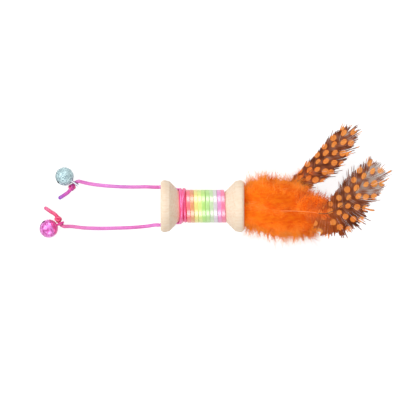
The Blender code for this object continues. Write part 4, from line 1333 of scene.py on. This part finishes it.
def add_down(skin, shape, rng, count, in_each, lengths, half_width, spread, slot=0):
    """Wisps of loose strands that sweep out from the tuft's line and back along the toy.

    spread is the share of the turn round the plume that they grow on, about its outer side.
    """
    side_y, side_z = shape[:2]
    t = np.sin(math.pi / 2 * rng.uniform(0.0, DOWN_REACH, count))
    turn = (0.0 if side_y > 0 else math.pi) + rng.uniform(-math.pi, math.pi, count) * spread
    inner_y, inner_z = DOWN_INNER_SIDES
    hidden = (np.cos(turn) * side_y < inner_y) | (np.sin(turn) * side_z < inner_z)
    turn = np.where(hidden, turn + math.pi, turn)
    root, out = on_plume(shape, t, turn, coat_share(t) * rng.uniform(*DOWN_DEPTHS, count))
    from_line = np.abs(root[:, 1] - tuft_line(root[:, 0] - SPOOL_LENGTH))
    sideways = smooth_step(from_line, *DOWN_PARTING_SPAN) * side_y
    back = DOWN_BACK_SWEEP[0] + DOWN_BACK_SWEEP[1] * t**2
    sweep = np.stack((back, DOWN_SIDE_SWEEP * sideways, np.zeros(count)), -1)
    way = sweep + DOWN_STAND * out + rng.normal(0.0, DOWN_SCATTER, (count, 3))
    patch = np.sin(root[:, 0] * 700 + side_z) + np.sin(root[:, 1] * 1100 + root[:, 0] * 400)
    at_root, painted_shade_fall, depth, painted_light_rise = DOWN_SHADES
    # The fall towards the tip is painted shade, and the rise at the sides is painted light.
    shade = at_root - painted_shade_fall * t + depth * patch + painted_light_rise * np.abs(sideways) * t
    root, out, way, shade = [np.repeat(part, in_each, axis=0) for part in (root, out, way, shade)]
    root = root + rng.normal(0.0, WISP_SCATTER, root.shape)
    grow(skin, rng, root, out, way, shade, lengths, half_width, slot)


def plume_quill(shape):
    """The quill's line: out of the plug, then through the middle of the plume."""
    way = np.array(shape[:2]) / math.sqrt(2) * QUILL_CIRCLE_RADIUS
    bends = plume_section(shape, np.array(PLUME_QUILL_SHARES))[0]
    return smooth_curve([(QUILL_START, *way), (SPOOL_LENGTH, *way), *bends], QUILL_STEP)


def make_plume(toy, name, shape, seed, materials):
    """Marabou down on its quill: a dense undercoat, and loose strands that cast no shadow."""
    rng = np.random.default_rng(seed)
    body = Skin()
    add_undercoat(body, shape, rng)
    line = plume_quill(shape)
    radii = np.linspace(QUILL_RADIUS, QUILL_RADIUS * QUILL_TIP_SHARE, len(line))
    add_tube(body, round_rings(line, radii, QUILL_SIDES), PLUME_QUILL_SLOT)
    mesh = body.mesh(name, materials, DOWN_SOFTNESS)
    toy.add(name.replace("plume", "undercoat"), mesh, "spool", "orange_marabou", [name])
    loose = Skin()
    add_down(loose, shape, rng, STRAND_COUNT, 1, STRAND_LENGTHS, STRAND_HALF_WIDTH, 1.0)
    add_down(loose, shape, rng, WISP_COUNT, HAIRS_PER_WISP, WISP_LENGTHS, WISP_HALF_WIDTH, WISP_SPREAD)
    add_down(loose, shape, rng, STRAY_COUNT, 1, STRAY_LENGTHS, STRAY_HALF_WIDTH, 1.0, PLUME_PALE_SLOT)
    mesh = loose.mesh(name, materials, DOWN_SOFTNESS)
    down = toy.add(name.replace("plume", "down"), mesh, "spool", "orange_marabou", [name])
    down.visible_shadow = False


def between(values, t):
    """The value at t from 0 to 1 along evenly spaced values, eased between them."""
    place = np.clip(t, 0.0, 1.0) * (len(values) - 1)
    i = np.minimum(place.astype(int), len(values) - 2)
    values = np.array(values)
    return values[i] + (values[i + 1] - values[i]) * smooth_step(place - i)


class Shaft:
    """A spotted feather's shaft, with places beside it that run on past its tip."""

    def __init__(self, feather):
        y, z = np.array(feather["root"]) * QUILL_CIRCLE_RADIUS
        flange = np.array((SPOOL_LENGTH, y, z))
        lies_at = np.array((SPOOL_LENGTH, 0.0, feather["lies_at"]))
        self.line = smooth_curve([flange, *[lies_at + p for p in feather["shaft"]]], SHAFT_STEP)
        self.line[:, 1] += tuft_line(self.line[:, 0] - SPOOL_LENGTH)
        self.reach = lengths_along(self.line)
        self.length = self.reach[-1]
        self.first = float(np.linalg.norm(lies_at + feather["shaft"][0] - flange))
        self.quill = np.array((QUILL_START, y, z))

    def at(self, share):
        """How far along the shaft a share lies of what is past its first point."""
        return self.first + share * (self.length - self.first)

    def beside(self, s, d):
        """The point s along the shaft and d to its left."""
        inside = np.minimum(s, self.length)
        place = np.stack([np.interp(inside, self.reach, self.line[:, k]) for k in range(3)], -1)
        ways = directions(self.line)
        along = unit(np.stack([np.interp(inside, self.reach, ways[:, k]) for k in range(3)], -1))
        across = unit(np.cross((0.0, 0.0, 1.0), along))
        return place + along * (s - inside)[..., None] + across * d[..., None]


def spots_on(feather, shaft, rng):
    """The spots: place along the shaft, place beside it, half length and half width.

    Outside a bend of the shaft, the same length along it is longer on the vane.
    """
    spots = []
    for side, key in ((1, "left"), (-1, "right")):
        for number, column in enumerate(feather[key]["columns"]):
            skipped = feather["spots_from"] + number * SPOT_STAGGER + SPOT_SIDE_SHIFT * side
            start = shaft.first + skipped * SPOT_STEP
            steps = np.arange((shaft.length - start) / SPOT_STEP + 1)
            half_size = np.array((SPOT_HALF_LENGTH, SPOT_HALF_WIDTHS[min(number, 1)]))
            for place in start + SPOT_STEP * steps * (1 + SPOT_STEP_GROWTH * steps):
                size = np.interp(place / shaft.length, SPOT_SIZES_AT, SPOT_SIZES)
                size = size * rng.uniform(*SPOT_SIZE_SCATTER)
                along, beside = rng.normal(0.0, SPOT_SCATTER)
                spots.append((place + along, side * column + beside, *half_size * size))
    spots = np.array(spots)
    ends = [shaft.beside(spots[:, 0] + half * SPOT_STEP, spots[:, 1]) for half in (0.5, -0.5)]
    stretch = np.linalg.norm(ends[0] - ends[1], axis=-1) / SPOT_STEP
    spots[:, 2] /= np.maximum(1.0, stretch)
    return spots


def nearest_spot(spots, s, d):
    """For each place on the vane, 1 in the middle of a spot, a half at its edge and 0 far off."""
    along = (s[..., None] - spots[:, 0]) / spots[:, 2]
    beside = (d[..., None] - spots[:, 1]) / spots[:, 3]
    return np.clip(1 - 0.5 * np.sqrt(along**2 + beside**2).min(axis=-1), 0.0, 1.0)


def add_vane(skin, rng, feather, shaft, spots, side):
    """The barbs of one side of the vane: webbed flat strands with loose tips, in clumps."""
    plan = feather["left"] if side > 0 else feather["right"]
    low, high = [shaft.at(share) for share in feather["vane"]]
    starts = np.arange(low, high, VANE_STEP)
    count = len(starts)
    starts = starts + rng.uniform(-VANE_JITTER, VANE_JITTER, count) * VANE_STEP
    share = (starts - low) / (high - low)
    angle = np.radians(between(plan["angles"], share))
    length = between(plan["lengths"], share) * rng.uniform(*VANE_LENGTH_SHARES, count)
    length = length * np.where(rng.random(count) < VANE_LONG_SHARE, VANE_LONG_BARB, 1.0)
    w = np.linspace(0.0, 1.0, VANE_BARB_POINTS)[None]
    bend = VANE_BARB_BEND * (w - w**2)
    d = side * (length * np.sin(angle))[:, None] * (w + bend)
    s = starts[:, None] + (length * np.cos(angle))[:, None] * (w - bend)
    in_clump = np.mod(starts / VANE_CLUMP + rng.uniform(), 1.0) - 0.5
    loose = smooth_step(share, plan["loose_from"], VANE_LOOSE_LENGTH)
    pull = in_clump * VANE_CLUMP * (VANE_CLUMP_PULL + VANE_LOOSE_PULL * loose)
    s = s - pull[:, None] * smooth_step(w, *VANE_CLUMP_SPAN)
    foot = DYE_FROM + feather["foot_dye"] * (1 - smooth_step(share, 0.0, VANE_FOOT_SHARE))
    near = np.maximum(nearest_spot(spots, s, d), foot[:, None])
    lines = shaft.beside(s, d)
    lines[..., 2] += rng.uniform(-0.5, 0.5, count)[:, None] * VANE_THICKNESS + VANE_RISE * w**2
    thins_at = (0.0, VANE_WEBBED, VANE_WEBBED + VANE_TIP_LENGTH, 1.0)
    webbed = np.interp(w[0], thins_at, (1.0, 1.0, *VANE_TIP_SHARES))
    cover = between(plan["cover"], share)[:, None]
    filled = (0.5 + 0.5 * cover) * webbed[None]
    filled = filled + (1 - filled) * SPOT_COVER * smooth_step(near, *SPOT_COVER_SPAN)
    ways = unit(np.gradient(lines, axis=1))
    apart = np.linalg.norm(np.cross(np.gradient(lines, axis=0), ways), axis=-1)
    widths = (np.maximum(VANE_BARB_HALF_WIDTH, VANE_OVERLAP * apart) * filled)[:, :-1]
    ridges = np.full_like(widths, VANE_BARB_RIDGE)
    across = np.cross((0.0, 0.0, 1.0), unit(lines[:, -1] - lines[:, 0]))
    # Patches of darker and lighter barbs: partly a random tone, partly painted shade where barbs overlap.
    patch = VANE_PATCH_SHADE * np.sin(s * 900 + d * 500) * np.sin(d * 800 - s * 300)
    shade = VANE_SHADE + patch + VANE_THIN_SHADE * (1 - cover)
    shade = shade + rng.normal(0.0, VANE_SHADE_SCATTER, count)[:, None]
    # Patches of painted shade where barbs overlap.
    for along, beside in feather["painted_shade_patches"]:
        far = np.hypot(s - shaft.at(along), d - beside)
        shade = shade - PAINTED_SHADE_DEPTH * np.exp(-((far / PAINTED_SHADE_RADIUS) ** 2))
    places = np.stack((np.clip(shade, 0.02, 0.98), near), -1)
    add_strands(skin, lines, across, widths, ridges, places=places)


def add_base_lobe(skin, rng, feather, shaft):
    """Dense down beside the foot of a vane, where the feather lies on the tuft's tip."""
    low, high = [shaft.at(share) for share in feather["base_lobe"]]
    t = np.sin(np.linspace(-BASE_LOBE_REACH, BASE_LOBE_REACH, BASE_LOBE_RINGS) * math.pi)
    s = low + (high - low) * (1 + t) / 2
    line = shaft.beside(s, np.full(len(s), BASE_LOBE_OFFSET[0]))
    line[:, 2] += BASE_LOBE_OFFSET[1]
    half_width, half_height = [half * np.sqrt(1 - t**2) for half in BASE_LOBE_HALF_SIZE]
    rings = rings_round(line, carried_across(line), half_width, half_height, BASE_LOBE_SIDES)
    add_tube(skin, rings, LOBE_COAT_SLOT)
    i = rng.integers(0, len(line), BASE_LOBE_STRANDS)
    root = rings[i, rng.integers(0, BASE_LOBE_SIDES, BASE_LOBE_STRANDS)]
    out = unit(root - line[i])
    way = DOWN_STAND * out + np.array(BASE_LOBE_SWEEP) + rng.normal(0.0, DOWN_SCATTER, out.shape)
    shade = BASE_LOBE_SHADES[0] - BASE_LOBE_SHADES[1] * t[i]
    grow(skin, rng, root, out, way, shade, STRAND_LENGTHS, STRAND_HALF_WIDTH, LOBE_DOWN_SLOT)
    edge = np.flatnonzero(out[:, 1] > BASE_EDGE_SIDE)[:BASE_EDGE_HAIRS]
    root, out, way = [part[edge] for part in (root, out, way)]
    way = way + BASE_EDGE_STAND * out
    shade = rng.uniform(0.0, 1.0, len(edge))
    grow(skin, rng, root, out, way, shade, BASE_DOWN_LENGTHS, WISP_HALF_WIDTH, BASE_DOWN_SLOT)


def add_base_down(skin, rng, feather, shaft):
    """The loose down below a spotted feather's vane, on both sides of its shaft."""
    if feather["base_lobe"]:
        add_base_lobe(skin, rng, feather, shaft)
    low, high, count = feather["base_down"]
    s = shaft.at(rng.uniform(low, high, count))
    side = rng.choice((-1.0, 1.0), count)
    angle = rng.uniform(*BASE_DOWN_ANGLES, count)
    length = rng.uniform(*BASE_DOWN_LENGTHS, count)
    w = np.linspace(0.0, 1.0, len(STRAND_TAPER) + 1)[None]
    d = (side * length * np.sin(angle))[:, None] * w
    lines = shaft.beside(s[:, None] + (length * np.cos(angle))[:, None] * w**BASE_DOWN_CURVE, d)
    lines[..., 2] += rng.normal(0.0, BASE_DOWN_RISE, count)[:, None] * w
    columns = rng.integers(0, STRAND_SHADES, count)
    radii = strand_radii(count, STRAND_HALF_WIDTH)
    across = rng.normal(size=(count, 3))
    add_strands(skin, lines, across, radii, radii, columns, slot=BASE_DOWN_SLOT)


def make_spotted_feather(toy, name, feather, seed, materials):
    rng = np.random.default_rng(seed)
    shaft = Shaft(feather)
    spots = spots_on(feather, shaft, rng)
    skin = Skin()
    for side in (1, -1):
        add_vane(skin, rng, feather, shaft, spots, side)
    line = np.concatenate([[shaft.quill], shaft.line])
    radii = QUILL_RADIUS * np.interp(np.linspace(0.0, 1.0, len(line)), *SHAFT_TAPER)
    rings = round_rings(line, radii, QUILL_SIDES)
    bare, tip = [np.searchsorted(shaft.reach, shaft.at(share)) for share in feather["vane"]]
    add_tube(skin, rings[:bare + 2], QUILL_SLOT)
    add_tube(skin, rings[bare + 1:tip], RACHIS_SLOT)
    spotted = name.replace("guinea", "spotted")
    toy.add(spotted, skin.mesh(name, materials), "spool", "spotted_feather", [name])
    loose = Skin()
    add_base_down(loose, rng, feather, shaft)
    mesh = loose.mesh(name, materials, DOWN_SOFTNESS)
    down = toy.add(spotted.replace("feather", "feather_down"), mesh, "spool", "spotted_feather", [name])
    down.visible_shadow = False


def make_feathers(toy):
    coat(toy.frame["nodes"]["glue_plug"].data, set_glue())
    down = soft_down("orange_marabou", (254, 129, 15), (255, 145, 31), (255, 180, 92))
    base = soft_down("feather_base_down", (252, 130, 36), (232, 118, 48), (178, 106, 74))
    pale = soft_down("pale_marabou", (255, 146, 44), (255, 168, 84), (255, 192, 124))
    horn = quill_horn("dyed_quill", (240, 122, 44), (255, 156, 78))
    rachis = quill_horn("dark_rachis", (72, 42, 28), (120, 74, 46))
    undercoat = dense_down()
    vane = spotted_vane()
    for seed, (name, shape) in enumerate(PLUMES.items()):
        make_plume(toy, name, shape, seed, [down, horn, undercoat, pale])
    for seed, (name, feather) in enumerate(SPOTTED_FEATHERS.items(), FEATHER_SEED):
        make_spotted_feather(toy, name, feather, seed, [vane, horn, rachis, base, undercoat, down])


def make_world():
    """Soft light from all round, with plain white behind the object."""
    g = Graph("studio", "worlds")
    light = g.tree.nodes["Background"]
    g.fill(light, {"Color": paint(1.0), "Strength": AMBIENT})
    white = g.node("Background", {"Color": paint(1.0)})
    both = g.node("MixShader", {0: g.seen_directly(), 1: light.outputs[0], 2: white.outputs[0]})
    g.fill(g.tree.nodes["World Output"], {"Surface": both.outputs[0]})
    bpy.context.scene.world = g.data


def make_floor():
    """A white floor that still takes the object's shadow."""
    bm = bmesh.new()
    bmesh.ops.create_grid(bm, x_segments=1, y_segments=1, size=FLOOR_HALF_SIZE)
    floor = placed("studio_floor", finished(bm, "studio_floor"))
    g = Graph("studio_white")
    lift = g.node("Emission", {"Strength": g.math("MULTIPLY", g.seen_directly(), FLOOR_LIFT)})
    matt = g.node("BsdfDiffuse", {"Color": paint(FLOOR_COLOUR)})
    both = g.node("AddShader", {0: matt.outputs[0], 1: lift.outputs[0]})
    g.fill(g.tree.nodes["Material Output"], {"Surface": both.outputs[0]})
    floor.data.materials.append(g.data)
    floor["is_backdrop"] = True


def soft_box(name, place, aim, size, power):
    """A studio lamp with a soft face, which the camera doesn't see."""
    data = bpy.data.lights.new(name, "AREA")
    data.shape = "RECTANGLE"
    data.size, data.size_y = size
    data.energy = power
    lamp = placed(name, data)
    lamp.location = place
    lamp.rotation_euler = (Vector(aim) - Vector(place)).to_track_quat("-Z", "Y").to_euler()
    lamp.visible_camera = False


def make_lights(toy):
    """A key light on the left, and a soft box on each side that the satin mirrors as a band."""
    middle = toy.origin + Vector((SPOOL_LENGTH / 2, 0, 0))
    soft_box("key", middle + Vector(KEY_PLACE), middle, KEY_BOX, KEY_POWER)
    for side in (1, -1):
        place = middle + Vector((0, side * SIDE_PLACE[0], SIDE_PLACE[1]))
        soft_box(f"side_{side}", place, middle, SIDE_BOX, SIDE_POWER)


def make_camera(toy):
    """Straight down, with the photographed framing at the height of the spool's axis."""
    data = bpy.data.cameras.new("camera")
    data.lens = CAMERA_LENS
    data.sensor_width = CAMERA_SENSOR
    camera = placed("camera", data)
    height = FRAME_WIDTH * CAMERA_LENS / CAMERA_SENSOR
    camera.location = toy.origin + Vector((*FRAME_CENTRE, height))
    bpy.context.scene.camera = camera


def main():
    toy = Toy()
    make_camera(toy)
    make_strings_and_bells(toy)
    make_spool(toy)
    make_winding(toy)
    make_bridle(toy)
    make_feathers(toy)
    make_world()
    make_floor()
    make_lights(toy)
    bpy.context.scene.view_settings.view_transform = "Standard"


main()
